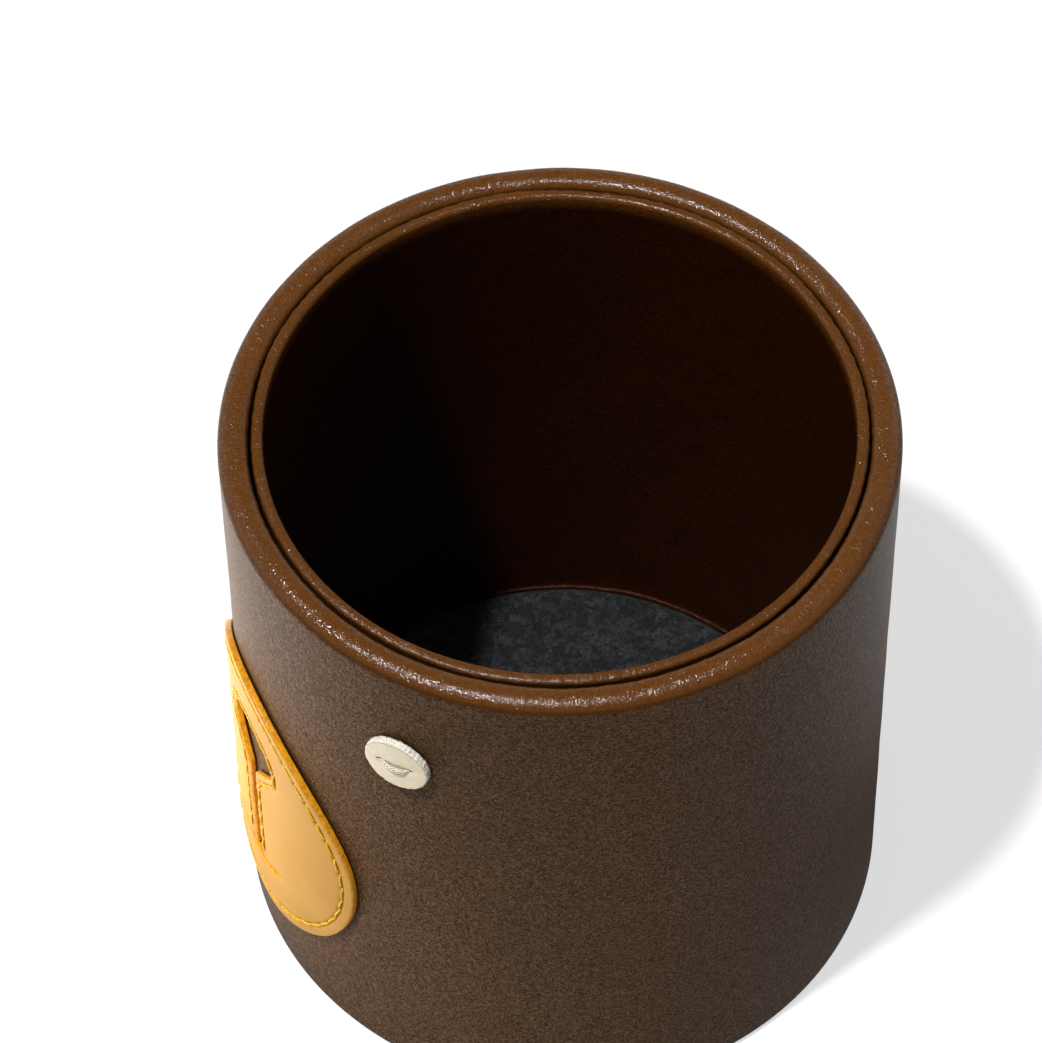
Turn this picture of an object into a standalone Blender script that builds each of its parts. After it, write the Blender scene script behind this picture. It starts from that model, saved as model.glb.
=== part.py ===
"""Round pen cup covered in leather, with the face of an animal sewn on its front.

Metres, +Z up. The origin is the middle of the underside and the muzzle faces -Y.
The wall is two board tubes inside a leather cover and a leather lining. The cover
rolls over the rim and under the base. The muzzle and the eyes are separate cut
leathers, bent round the cover and held by thread.
"""
import math

import bmesh
import bpy
from mathutils import Vector
from mathutils.geometry import delaunay_2d_cdt

# Cup
CUP_RADIUS = 0.0425
CUP_HEIGHT = 0.090
GLUE_GAP = 0.0003

# Leather and board
COVER_THICKNESS = 0.0009
BOARD_THICKNESS = 0.0016
LINING_THICKNESS = 0.0007
FELT_THICKNESS = 0.0010
FELT_EDGE_RADIUS = 0.0003
RIM_TURN_IN = 0.012
BASE_HEM_WIDTH = 0.0085
LINING_DROP = 0.0003
LINING_FLANGE = 0.0008
HEM_TAPER = 0.0010
SEAM_WIDTH = 0.0008
SEAM_DEPTH = 0.0004

# Muzzle
PATCH_WIDTH = 0.0436
PATCH_LEVEL = 0.0353
PATCH_RISE = 0.0230
PATCH_FALL = 0.0240
PATCH_THICKNESS = 0.0008
PATCH_BEVEL = 0.0002
NOSE_WIDTH = 0.0124
NOSE_LENGTH = 0.0110
NOSE_RISE = 0.0145
SLOT_WIDTH = 0.0019
MOUTH_WIDTH = 0.0122
MOUTH_DROP = 0.0161
MOUTH_SMILE = 0.0020
MOUTH_SLOT = 0.0012

# Muzzle stitching
THREAD_RADIUS = 0.0002
STITCH_PITCH = 0.0030
EDGE_STITCH_INSET = 0.0018
NOSE_STITCH_INSET = 0.0012
STITCH_PROUD = 0.00035
CHANNEL_DEPTH = 0.0005
SLOT_STITCH_STOP = 0.0022

# Eyes
EYE_WIDTH = 0.0088
EYE_THICKNESS = 0.0010
EYE_BEVEL = 0.0002
EYE_DROP = 0.0177
EYE_ANGLE = math.radians(39.7)
EYE_HOLE_SPACING = 0.0039
EYE_THREAD_RADIUS = 0.0003
EYE_THREAD_SAG = 0.0005

# Overrun of a cutter past the leather that it cuts
CUTTER_OVERRUN = 0.0005

# Shares that shape the outlines of the muzzle and the nose
PATCH_CROWN_SHARE = 0.42
PATCH_CHEEK_SHARE = 0.50
NOSE_WIDEST_SHARE = 0.48
NOSE_TOP_HANDLE_SHARE = 0.58
NOSE_SHOULDER_HANDLE_SHARE = 0.54
NOSE_CHEEK_HANDLE_SHARE = 0.24
NOSE_SLOT_HANDLE_SHARE = 0.38
NOSE_JUNCTION_SHARE = 0.4

# Facets
AROUND = 64
ROLL_STEPS = 8
CORNER_STEPS = 3
OUTLINE_POINTS = 52
CURVE_STEPS = 7
MOUTH_STEPS = 3
TIP_STEPS = 4
EYE_POINTS = 28
HOLE_POINTS = 10
RINGS_PER_STITCH = 4
STITCH_SIDES = 5
EYE_THREAD_SIDES = 8
BEND_STEP = 0.0024
MERGE_SHARE = 0.01
MITRE_LIMIT_SHARE = 0.5
UPRIGHT_SHARE = 0.9
SHARP_ANGLE = math.radians(35)
FRONT = -math.pi / 2
BACK = math.pi / 2

# Worked out from the sizes above
ROLL_RADIUS = COVER_THICKNESS + GLUE_GAP + BOARD_THICKNESS / 2
ROLL_CENTRE_RADIUS = CUP_RADIUS - ROLL_RADIUS
ROLL_CENTRE_LEVEL = CUP_HEIGHT - ROLL_RADIUS
TURN_IN_LEVEL = CUP_HEIGHT - RIM_TURN_IN
BASE_LEVEL = COVER_THICKNESS + GLUE_GAP
FOOT_RADIUS = BASE_LEVEL
FLOOR_LEVEL = BASE_LEVEL + BOARD_THICKNESS + GLUE_GAP
BOARD_OUTER_RADIUS = CUP_RADIUS - COVER_THICKNESS - GLUE_GAP
BOARD_INNER_RADIUS = BOARD_OUTER_RADIUS - BOARD_THICKNESS
LINING_HEM_RADIUS = CUP_RADIUS - 2 * ROLL_RADIUS - GLUE_GAP
LINING_INNER_RADIUS = LINING_HEM_RADIUS - 2 * LINING_THICKNESS
APPLIQUE_RADIUS = CUP_RADIUS + GLUE_GAP
EYE_HOLE_RADIUS = EYE_THREAD_RADIUS + GLUE_GAP
CHANNEL_HALF_WIDTH = THREAD_RADIUS + GLUE_GAP
EYE_LEVEL = CUP_HEIGHT - EYE_DROP


def clear_scene():
    for item in list(bpy.data.objects):
        bpy.data.objects.remove(item)


def material(name, colour, roughness):
    """Principled material, made once for each name."""
    made = bpy.data.materials.get(name)
    if made is None:
        made = bpy.data.materials.new(name)
        made.use_nodes = True
        shader = made.node_tree.nodes["Principled BSDF"]
        shader.inputs["Base Color"].default_value = (*colour, 1.0)
        shader.inputs["Roughness"].default_value = roughness
        shader.inputs["Metallic"].default_value = 0.0
    return made


def object_from(name, mesh, finish):
    """Put a mesh in the scene under a node's name."""
    item = bpy.data.objects.new(name, mesh)
    if not mesh.materials:
        mesh.materials.append(finish)
    bpy.context.scene.collection.objects.link(item)
    return item


def mesh_from(name, bm):
    """Close a bmesh into a smooth shaded mesh with its faces pointing out."""
    bmesh.ops.recalc_face_normals(bm, faces=bm.faces)
    mesh = bpy.data.meshes.new(name)
    bm.to_mesh(mesh)
    bm.free()
    mesh.shade_smooth()
    mesh.set_sharp_from_angle(angle=SHARP_ANGLE)
    return mesh


def arc(centre, radius, start, end, steps):
    """Points from one angle in degrees to another round a centre, both ends included."""
    points = []
    for step in range(steps + 1):
        angle = math.radians(start + (end - start) * step / steps)
        points.append((centre[0] + radius * math.cos(angle), centre[1] + radius * math.sin(angle)))
    return points


def bezier(start, start_handle, end_handle, end, steps):
    """Points along a cubic curve, its last point left out."""
    points = []
    for step in range(steps):
        t = step / steps
        a, b, c, d = (1 - t) ** 3, 3 * t * (1 - t) ** 2, 3 * t * t * (1 - t), t ** 3
        x = a * start[0] + b * start_handle[0] + c * end_handle[0] + d * end[0]
        z = a * start[1] + b * start_handle[1] + c * end_handle[1] + d * end[1]
        points.append((x, z))
    return points


# Turned pieces

def turning_angles(with_seam):
    """Angles of the columns of a turned piece. A seam takes three of them at the back."""
    angles = [BACK + 2 * math.pi * step / AROUND for step in range(AROUND)]
    if with_seam:
        half = SEAM_WIDTH / 2 / CUP_RADIUS
        angles = [BACK, BACK + half] + angles[1:] + [BACK + 2 * math.pi - half]
    return angles


def outward(profile, index):
    """Direction that points out of a closed profile at one of its points."""
    before = Vector(profile[index - 1])
    after = Vector(profile[(index + 1) % len(profile)])
    along = (after - before).normalized()
    return Vector((along.y, -along.x))


def turned(name, profile, finish, seam_points=0):
    """Turn a closed profile of radius and height round the axis.

    The profile runs anticlockwise. The first seam_points of it dip along the back, where
    the two ends of the leather meet.
    """
    angles = turning_angles(seam_points > 0)
    bm = bmesh.new()
    rows = []
    for index, (radius, level) in enumerate(profile):
        if radius == 0:
            rows.append([bm.verts.new((0, 0, level))] * len(angles))
            continue
        row = []
        for column, angle in enumerate(angles):
            r, z = radius, level
            if column == 0 and index < seam_points:
                dip = outward(profile, index) * SEAM_DEPTH
                r, z = radius - dip.x, level - dip.y
            row.append(bm.verts.new((r * math.cos(angle), r * math.sin(angle), z)))
        rows.append(row)
    for index, row in enumerate(rows):
        following = rows[(index + 1) % len(rows)]
        for column in range(len(angles)):
            after = (column + 1) % len(angles)
            corners = [row[column], row[after], following[after], following[column]]
            corners = list(dict.fromkeys(corners))
            if len(corners) > 2:
                bm.faces.new(corners)
    return object_from(name, mesh_from(name, bm), finish)


def outer_leather_cover(finish):
    """Cover leather: under the base, up the wall, over the rim and down inside."""
    roll_centre = (ROLL_CENTRE_RADIUS, ROLL_CENTRE_LEVEL)
    foot_centre = (CUP_RADIUS - FOOT_RADIUS, FOOT_RADIUS)
    wall = [(CUP_RADIUS - BASE_HEM_WIDTH, 0)]
    wall += arc(foot_centre, FOOT_RADIUS, -90, 0, CORNER_STEPS)
    face = wall + arc(roll_centre, ROLL_RADIUS, 0, 180, ROLL_STEPS)
    face.append((ROLL_CENTRE_RADIUS - ROLL_RADIUS, TURN_IN_LEVEL))
    back = [(ROLL_CENTRE_RADIUS - ROLL_RADIUS + COVER_THICKNESS, TURN_IN_LEVEL)]
    back += arc(roll_centre, ROLL_RADIUS - COVER_THICKNESS, 180, 0, ROLL_STEPS)
    back += arc(foot_centre, FOOT_RADIUS - COVER_THICKNESS, 0, -90, CORNER_STEPS)
    back.append((CUP_RADIUS - BASE_HEM_WIDTH, COVER_THICKNESS))
    cover = turned("outer_leather_cover", face + back, finish, seam_points=len(wall) + 1)
    cut = cover.modifiers.new("eye_holes", "BOOLEAN")
    cut.operation = "DIFFERENCE"
    cut.solver = "EXACT"
    cut.object = eye_hole_cutter()
    return cover


def eye_hole_cutter():
    """Two pins for each eye that pierce the cover where the eye thread passes."""
    bm = bmesh.new()
    start = CUP_RADIUS - COVER_THICKNESS - CUTTER_OVERRUN
    end = CUP_RADIUS + CUTTER_OVERRUN
    for eye in (-1, 1):
        for hole in (-1, 1):
            angle = FRONT + eye * EYE_ANGLE + hole * EYE_HOLE_SPACING / 2 / CUP_RADIUS
            loops = []
            for radius in (start, end):
                loop = []
                for u, z in arc((0, EYE_LEVEL), EYE_HOLE_RADIUS, 0, 360, HOLE_POINTS)[:-1]:
                    x = radius * math.cos(angle) - u * math.sin(angle)
                    y = radius * math.sin(angle) + u * math.cos(angle)
                    loop.append(bm.verts.new((x, y, z)))
                loops.append(loop)
            bm.faces.new(loops[0][::-1])
            bm.faces.new(loops[1])
            for index in range(HOLE_POINTS):
                after = (index + 1) % HOLE_POINTS
                bm.faces.new((loops[0][index], loops[0][after], loops[1][after], loops[1][index]))
    cutter = object_from("eye_hole_cutter", mesh_from("eye_hole_cutter", bm), None)
    cutter.hide_render = True
    cutter.display_type = "WIRE"
    return cutter


def inner_leather_lining(finish):
    """Lining leather: a hem folded back at the top and a narrow flange on the floor."""
    top_centre = (LINING_INNER_RADIUS + LINING_THICKNESS, CUP_HEIGHT - LINING_DROP - LINING_THICKNESS)
    flange_level = FLOOR_LEVEL + LINING_THICKNESS
    back_radius = LINING_INNER_RADIUS + LINING_THICKNESS
    face = arc(top_centre, LINING_THICKNESS, 0, 180, ROLL_STEPS - 2)
    face += [(LINING_INNER_RADIUS, flange_level)]
    back = [
        (LINING_INNER_RADIUS - LINING_FLANGE, flange_level),
        (LINING_INNER_RADIUS - LINING_FLANGE, FLOOR_LEVEL),
        (back_radius, FLOOR_LEVEL),
        (back_radius, TURN_IN_LEVEL),
        (LINING_HEM_RADIUS, TURN_IN_LEVEL + HEM_TAPER),
    ]
    return turned("inner_leather_lining", face + back, finish)


def outer_board_tube(finish):
    """Board tube that the cover rolls over. Its top edge is rounded."""
    half = BOARD_THICKNESS / 2
    profile = [(BOARD_INNER_RADIUS, BASE_LEVEL), (BOARD_OUTER_RADIUS, BASE_LEVEL)]
    profile += arc((ROLL_CENTRE_RADIUS, ROLL_CENTRE_LEVEL), half, 0, 180, ROLL_STEPS - 2)
    return turned("outer_board_tube", profile, finish)


def inner_board_tube(finish):
    """Board tube behind the lining. It ends under the two hems."""
    outer = BOARD_INNER_RADIUS - GLUE_GAP
    inner = LINING_INNER_RADIUS + LINING_THICKNESS + GLUE_GAP
    top = TURN_IN_LEVEL - GLUE_GAP
    profile = [(inner, FLOOR_LEVEL), (outer, FLOOR_LEVEL), (outer, top), (inner, top)]
    return turned("inner_board_tube", profile, finish)


def disc(name, radius, bottom, top, finish, edge_radius=0):
    """Flat round piece, with its upper edge rounded where edge_radius is given."""
    profile = [(0, bottom), (radius, bottom)]
    if edge_radius:
        profile += arc((radius - edge_radius, top - edge_radius), edge_radius, 0, 90, CORNER_STEPS)
    else:
        profile.append((radius, top))
    profile.append((0, top))
    return turned(name, profile, finish)


# Cut leathers that are bent round the cup

def offset_loop(points, distance):
    """Move a closed loop out to its right hand side by a distance."""
    moved = []
    for index, point in enumerate(points):
        before = Vector(points[index - 1])
        after = Vector(points[(index + 1) % len(points)])
        first = (Vector(point) - before).normalized()
        second = (after - Vector(point)).normalized()
        normal = Vector((first.y + second.y, -first.x - second.x)).normalized()
        stretch = max(normal.dot(Vector((first.y, -first.x))), MITRE_LIMIT_SHARE)
        moved.append(tuple(Vector(point) + normal * distance / stretch))
    return moved


def band(points, half_width):
    """Outline of a strip along an open line, run on at both ends by its half width."""
    line = [Vector(point) for point in points]
    line[0] = line[0] + (line[0] - line[1]).normalized() * half_width
    line[-1] = line[-1] + (line[-1] - line[-2]).normalized() * half_width
    right, left = [], []
    for index, point in enumerate(line):
        along = (line[min(index + 1, len(line) - 1)] - line[max(index - 1, 0)]).normalized()
        side = Vector((along.y, -along.x)) * half_width
        right.append(tuple(point + side))
        left.append(tuple(point - side))
    return right + left[::-1]


def inside(point, loop):
    """Whether a point lies in a closed loop."""
    found = False
    x, z = point
    for index, (x1, z1) in enumerate(loop):
        x0, z0 = loop[index - 1]
        if (z0 > z) != (z1 > z) and x < x0 + (x1 - x0) * (z - z0) / (z1 - z0):
            found = not found
    return found


def parity(point, loops):
    """Whether a point lies in an odd number of the loops."""
    return sum(inside(point, loop) for loop in loops) % 2 == 1


def bend_lines(loop):
    """Upright lines across a loop where the leather may bend."""
    lowest = min(z for x, z in loop) - CUTTER_OVERRUN
    highest = max(z for x, z in loop) + CUTTER_OVERRUN
    reach = max(x for x, z in loop)
    count = max(2, round(2 * reach / BEND_STEP))
    lines = []
    for step in range(1, count):
        x = reach * (2 * step / count - 1)
        lines.append([(x, lowest), (x, highest)])
    return lines


def triangulate(loops, lines):
    """Triangles over the plane that keep every loop and line as edges."""
    points, edges = [], []
    for loop in loops:
        first = len(points)
        points += [Vector(point) for point in loop]
        edges += [(first + i, first + (i + 1) % len(loop)) for i in range(len(loop))]
    for line in lines:
        edges.append((len(points), len(points) + 1))
        points += [Vector(point) for point in line]
    found = delaunay_2d_cdt(points, edges, [], 0, GLUE_GAP * MERGE_SHARE)
    corners, faces = found[0], found[2]
    triangles = []
    for a, b, c in faces:
        turn = (corners[b] - corners[a]).cross(corners[c] - corners[a])
        triangles.append((a, b, c) if turn > 0 else (a, c, b))
    return corners, triangles


def wrap(x, z, height, level):
    """Place a point of a flat piece on the front of the cup, height above the cover."""
    angle = FRONT + x / CUP_RADIUS
    radius = APPLIQUE_RADIUS + height
    return (radius * math.cos(angle), radius * math.sin(angle), level + z)


def cut_leather(name, outline, cut_outs, channels, thickness, bevel, level):
    """Leather cut to an outline, with openings, bevelled edges and stitching channels."""
    edges = [outline] + cut_outs
    soft_edges = [offset_loop(outline, -bevel)] + [offset_loop(loop, bevel) for loop in cut_outs]
    corners, triangles = triangulate(edges + soft_edges + channels, bend_lines(outline))
    kept = {}
    for triangle in triangles:
        middle = sum((corners[index] for index in triangle), Vector((0, 0))) / 3
        if parity(middle, edges):
            kept[triangle] = parity(middle, channels)
    beside = {}
    for triangle in kept:
        for index in range(3):
            beside[(triangle[index], triangle[(index + 1) % 3])] = triangle
    rim = set()
    for start, end in beside:
        if (end, start) not in beside:
            rim.update((start, end))

    bm = bmesh.new()
    made = {}

    def vertex(index, layer):
        if (index, layer) not in made:
            height = {"back": 0, "channel": thickness - CHANNEL_DEPTH, "face": thickness}[layer]
            if layer == "face" and index in rim:
                height = thickness - bevel
            x, z = corners[index]
            made[(index, layer)] = bm.verts.new(wrap(x, z, height, level))
        return made[(index, layer)]

    for triangle, in_channel in kept.items():
        layer = "channel" if in_channel else "face"
        bm.faces.new([vertex(index, layer) for index in triangle])
        bm.faces.new([vertex(index, "back") for index in reversed(triangle)])
        for step in range(3):
            start, end = triangle[step], triangle[(step + 1) % 3]
            neighbour = beside.get((end, start))
            if neighbour is None:
                foot = "back"
            elif kept[neighbour] and not in_channel:
                foot = "channel"
            else:
                continue
            bm.faces.new([vertex(start, foot), vertex(end, foot), vertex(end, layer), vertex(start, layer)])
    return mesh_from(name, bm)


def ellipse(width, height, count):
    """Points round an ellipse, anticlockwise."""
    points = []
    for step in range(count):
        angle = 2 * math.pi * step / count
        points.append((width / 2 * math.cos(angle), height / 2 * math.sin(angle)))
    return points


def muzzle_outline():
    """Outline of the muzzle, anticlockwise from its right: a drawn-in top over half an ellipse."""
    half, quarter = PATCH_WIDTH / 2, OUTLINE_POINTS // 4
    cheek = (half, PATCH_RISE * PATCH_CHEEK_SHARE)
    crown = (half * PATCH_CROWN_SHARE, PATCH_RISE)
    right = bezier((half, 0), cheek, crown, (0, PATCH_RISE), quarter)
    left = [(-x, z) for x, z in reversed(right)]
    points = right + [(0, PATCH_RISE)] + left
    for step in range(1, 2 * quarter):
        angle = math.pi + math.pi * step / (2 * quarter)
        points.append((half * math.cos(angle), PATCH_FALL * math.sin(angle)))
    return points


def nose_side(margin):
    """Right side of the nose from its top middle to the slot, moved out by a margin."""
    half = NOSE_WIDTH / 2 + margin
    top = NOSE_RISE + margin
    widest = NOSE_RISE - NOSE_LENGTH * NOSE_WIDEST_SHARE
    slot = SLOT_WIDTH / 2 + margin
    junction = NOSE_RISE - NOSE_LENGTH - margin * NOSE_JUNCTION_SHARE
    shoulder = widest + (top - widest) * NOSE_SHOULDER_HANDLE_SHARE
    cheek = widest - (widest - junction) * NOSE_CHEEK_HANDLE_SHARE
    lip = (
        slot + (half - slot) * NOSE_SLOT_HANDLE_SHARE,
        junction + (widest - junction) * NOSE_SLOT_HANDLE_SHARE,
    )
    crown = (half * NOSE_TOP_HANDLE_SHARE, top)
    upper = bezier((0, top), crown, (half, shoulder), (half, widest), CURVE_STEPS)
    lower = bezier((half, widest), (half, cheek), lip, (slot, junction), CURVE_STEPS)
    return upper + lower + [(slot, junction)]


def mouth_centre(x):
    """Height of the middle of the mouth slot at a distance from the middle of the face."""
    return MOUTH_SMILE * (2 * x / MOUTH_WIDTH) ** 2 - MOUTH_DROP


def nose_and_mouth_opening():
    """One opening: the nose, the slot below it and the two arms of the mouth."""
    half = MOUTH_SLOT / 2
    reach = MOUTH_WIDTH / 2
    start = SLOT_WIDTH / 2
    right = nose_side(0)
    for step in range(MOUTH_STEPS):
        x = start + (reach - start) * step / MOUTH_STEPS
        right.append((x, mouth_centre(x) + half))
    right += arc((reach, mouth_centre(reach)), half, 90, -90, TIP_STEPS)
    for step in range(1, MOUTH_STEPS):
        x = reach * (1 - step / MOUTH_STEPS)
        right.append((x, mouth_centre(x) - half))
    right.append((0, mouth_centre(0) - half))
    left = [(-x, z) for x, z in right[1:-1]]
    return (left[::-1] + right[:1] + right[1:])[::-1]


def spaced(points, closed, pitch, per_pitch):
    """Points at even steps along a line, a whole number of stitches long."""
    line = [Vector(point) for point in points]
    if closed:
        line.append(line[0])
    lengths = [0]
    for before, after in zip(line, line[1:]):
        lengths.append(lengths[-1] + (after - before).length)
    stitches = max(1, round(lengths[-1] / pitch))
    count = stitches * per_pitch
    found, segment = [], 0
    for step in range(count if closed else count + 1):
        target = min(lengths[-1] * step / count, lengths[-1])
        while segment < len(line) - 2 and lengths[segment + 1] < target:
            segment += 1
        share = (target - lengths[segment]) / (lengths[segment + 1] - lengths[segment])
        found.append(tuple(line[segment].lerp(line[segment + 1], share)))
    return found


def tube(name, points, radius, sides, closed):
    """Round tube along a line of points. An open tube has flat ends."""
    line = [Vector(point) for point in points]
    count = len(line)
    tangents = []
    for index in range(count):
        if closed:
            before, after = line[index - 1], line[(index + 1) % count]
        else:
            before, after = line[max(index - 1, 0)], line[min(index + 1, count - 1)]
        tangents.append((after - before).normalized())
    bm = bmesh.new()
    rings = []
    for point, tangent in zip(line, tangents):
        outwards = Vector((point.x, point.y, 0)).normalized()
        if abs(outwards.dot(tangent)) > UPRIGHT_SHARE:
            outwards = Vector((0, 0, 1))
        side = tangent.cross(outwards).normalized()
        lift = side.cross(tangent)
        ring = []
        for step in range(sides):
            angle = 2 * math.pi * step / sides
            ring.append(bm.verts.new(point + radius * (side * math.cos(angle) + lift * math.sin(angle))))
        rings.append(ring)
    for index in range(count if closed else count - 1):
        ring, following = rings[index], rings[(index + 1) % count]
        for step in range(sides):
            after = (step + 1) % sides
            bm.faces.new((ring[step], ring[after], following[after], following[step]))
    if not closed:
        bm.faces.new(rings[0][::-1])
        bm.faces.new(rings[-1])
    return mesh_from(name, bm)


def stitching(name, line, closed):
    """Running thread that rises over the leather and dips in its channel at each hole."""
    low = PATCH_THICKNESS - CHANNEL_DEPTH + GLUE_GAP + THREAD_RADIUS
    high = PATCH_THICKNESS + STITCH_PROUD - THREAD_RADIUS
    points = []
    for index, (x, z) in enumerate(spaced(line, closed, STITCH_PITCH, RINGS_PER_STITCH)):
        rise = abs(math.sin(math.pi * index / RINGS_PER_STITCH))
        points.append(wrap(x, z, low + (high - low) * rise, PATCH_LEVEL))
    return tube(name, points, THREAD_RADIUS, STITCH_SIDES, closed)


def edge_stitch_line():
    return offset_loop(muzzle_outline(), -EDGE_STITCH_INSET)


def nose_stitch_line():
    """Line up one side of the slot, round the nose and down the other side."""
    right = nose_side(NOSE_STITCH_INSET)
    slot = SLOT_WIDTH / 2 + NOSE_STITCH_INSET
    right.append((slot, mouth_centre(slot) + MOUTH_SLOT / 2 + SLOT_STITCH_STOP))
    left = [(-x, z) for x, z in right[1:]]
    return left[::-1] + right


def muzzle_pieces(patch_finish, thread_finish):
    """Muzzle leather with its two runs of stitching."""
    outline = muzzle_outline()
    edge_line, nose_line = edge_stitch_line(), nose_stitch_line()
    channels = [
        offset_loop(edge_line, CHANNEL_HALF_WIDTH),
        offset_loop(edge_line, -CHANNEL_HALF_WIDTH),
        band(nose_line, CHANNEL_HALF_WIDTH),
    ]
    opening = nose_and_mouth_opening()
    patch = cut_leather(
        "muzzle_patch", outline, [opening], channels, PATCH_THICKNESS, PATCH_BEVEL, PATCH_LEVEL
    )
    object_from("muzzle_patch", patch, patch_finish)
    edge_thread = stitching("muzzle_edge_thread", edge_line, True)
    object_from("muzzle_edge_thread", edge_thread, thread_finish)
    nose_thread = stitching("nose_thread", nose_line, False)
    object_from("nose_thread", nose_thread, thread_finish)


def eye_thread_line():
    """Thread up through one hole, across the eye in a shallow sag and down the other hole."""
    bend = EYE_HOLE_RADIUS
    side = EYE_HOLE_SPACING / 2
    start = -GLUE_GAP - COVER_THICKNESS
    across = EYE_THICKNESS + GLUE_GAP + EYE_THREAD_RADIUS
    left = [(-side, start), (-side, (start + across) / 2)]
    left += arc((bend - side, across - bend), bend, 180, 90, CORNER_STEPS + 1)
    line = left + [(0, across)] + [(-x, height) for x, height in reversed(left)]
    points = []
    for x, height in line:
        sag = EYE_THREAD_SAG * (1 - min(1, abs(x) / side) ** 2)
        points.append(wrap(x, -sag, height, EYE_LEVEL))
    return points


def eyes(disc_finish, thread_finish):
    """Two round eye leathers, each with two holes and one stitch of thick thread."""
    outline = ellipse(EYE_WIDTH, EYE_WIDTH, EYE_POINTS)
    holes = []
    for side in (-1, 1):
        centre = (side * EYE_HOLE_SPACING / 2, 0)
        holes.append(arc(centre, EYE_HOLE_RADIUS, 0, 360, HOLE_POINTS)[:-1])
    leather = cut_leather("eye_leather", outline, holes, [], EYE_THICKNESS, EYE_BEVEL, EYE_LEVEL)
    thread = tube("eye_stitch", eye_thread_line(), EYE_THREAD_RADIUS, EYE_THREAD_SIDES, False)
    for name, side in (("left", 1), ("right", -1)):
        for kind, mesh, finish in (("disc", leather, disc_finish), ("thread", thread, thread_finish)):
            item = object_from("eye_" + kind + "_" + name, mesh, finish)
            item.rotation_euler.z = side * EYE_ANGLE


def main():
    clear_scene()
    brown = material("brown_leather", (0.135, 0.062, 0.026), 0.48)
    lining_brown = material("lining_leather", (0.120, 0.050, 0.020), 0.45)
    board = material("grey_board", (0.34, 0.32, 0.29), 0.90)
    felt = material("charcoal_felt", (0.032, 0.033, 0.036), 0.95)
    under = material("underside_leather", (0.090, 0.045, 0.022), 0.60)
    tan = material("tan_leather", (0.730, 0.450, 0.140), 0.55)
    yellow = material("yellow_thread", (0.910, 0.610, 0.022), 0.45)
    cream = material("cream_leather", (0.700, 0.610, 0.450), 0.60)
    cream_thread = material("cream_thread", (0.800, 0.740, 0.610), 0.70)

    outer_leather_cover(brown)
    outer_board_tube(board)
    inner_board_tube(board)
    inner_leather_lining(lining_brown)
    disc("base_board", BOARD_INNER_RADIUS - GLUE_GAP, BASE_LEVEL, BASE_LEVEL + BOARD_THICKNESS, board)
    disc("underside_leather", CUP_RADIUS - BASE_HEM_WIDTH - GLUE_GAP, 0, COVER_THICKNESS, under)
    felt_radius = LINING_INNER_RADIUS - LINING_FLANGE - GLUE_GAP
    felt_top = FLOOR_LEVEL + FELT_THICKNESS
    disc("felt_floor", felt_radius, FLOOR_LEVEL, felt_top, felt, FELT_EDGE_RADIUS)
    muzzle_pieces(tan, yellow)
    eyes(cream, cream_thread)


main()
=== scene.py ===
import math
import random

import bmesh
import bpy
import numpy as np
from mathutils import Matrix, Vector
from mathutils.geometry import delaunay_2d_cdt


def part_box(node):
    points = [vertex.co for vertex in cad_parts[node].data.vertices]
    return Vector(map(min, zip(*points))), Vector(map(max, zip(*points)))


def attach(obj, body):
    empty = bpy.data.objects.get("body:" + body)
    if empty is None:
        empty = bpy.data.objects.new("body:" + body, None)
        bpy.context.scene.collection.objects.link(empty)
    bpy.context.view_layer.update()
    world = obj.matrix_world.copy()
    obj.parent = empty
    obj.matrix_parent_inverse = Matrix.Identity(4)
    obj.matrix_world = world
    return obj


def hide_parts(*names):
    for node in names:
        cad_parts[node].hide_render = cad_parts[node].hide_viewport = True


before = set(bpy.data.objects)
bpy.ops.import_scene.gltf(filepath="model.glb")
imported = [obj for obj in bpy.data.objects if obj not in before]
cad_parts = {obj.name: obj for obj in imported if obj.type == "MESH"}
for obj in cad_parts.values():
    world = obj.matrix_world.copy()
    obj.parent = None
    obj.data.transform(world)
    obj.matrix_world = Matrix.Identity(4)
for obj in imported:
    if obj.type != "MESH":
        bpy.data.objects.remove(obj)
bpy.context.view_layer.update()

bl_info = {
    "name": "Leather Pen Cup",
    "version": (1, 0, 0),
    "blender": (4, 5, 0),
    "location": "View3D > Sidebar > Pen Cup",
    "description": "Dresses a leather pen cup with an animal's face, its felt floor and its stitching",
    "category": "Object",
}

# The whole object is one body
BODY = "root"

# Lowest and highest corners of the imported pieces, which the dressed ones take the place of
COVER_LOW, COVER_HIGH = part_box("outer_leather_cover")
LINING_LOW, LINING_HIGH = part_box("inner_leather_lining")
FELT_LOW, FELT_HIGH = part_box("felt_floor")
PATCH_LOW, PATCH_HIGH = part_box("muzzle_patch")
EYE_LOW, EYE_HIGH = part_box("eye_disc_left")

CUP_RADIUS = COVER_HIGH.x
CUP_HEIGHT = COVER_HIGH.z
GLUE_GAP = 0.0003
FRONT = -math.pi / 2
BACK = math.pi / 2
COLUMNS = 640
SEAM_HALF_WIDTH = 0.00042
SEAM_DEPTH = 0.00045

PATCH_INNER = CUP_RADIUS + GLUE_GAP
PATCH_THICKNESS = -PATCH_LOW.y - PATCH_INNER
PATCH_FALL = 0.0240
PATCH_MIDDLE = PATCH_LOW.z + PATCH_FALL
PATCH_RISE = PATCH_HIGH.z - PATCH_MIDDLE
EYE_THICKNESS = 0.0010
EYE_MIDDLE = (EYE_LOW.z + EYE_HIGH.z) / 2
TORN_KNOTS = 120

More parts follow.
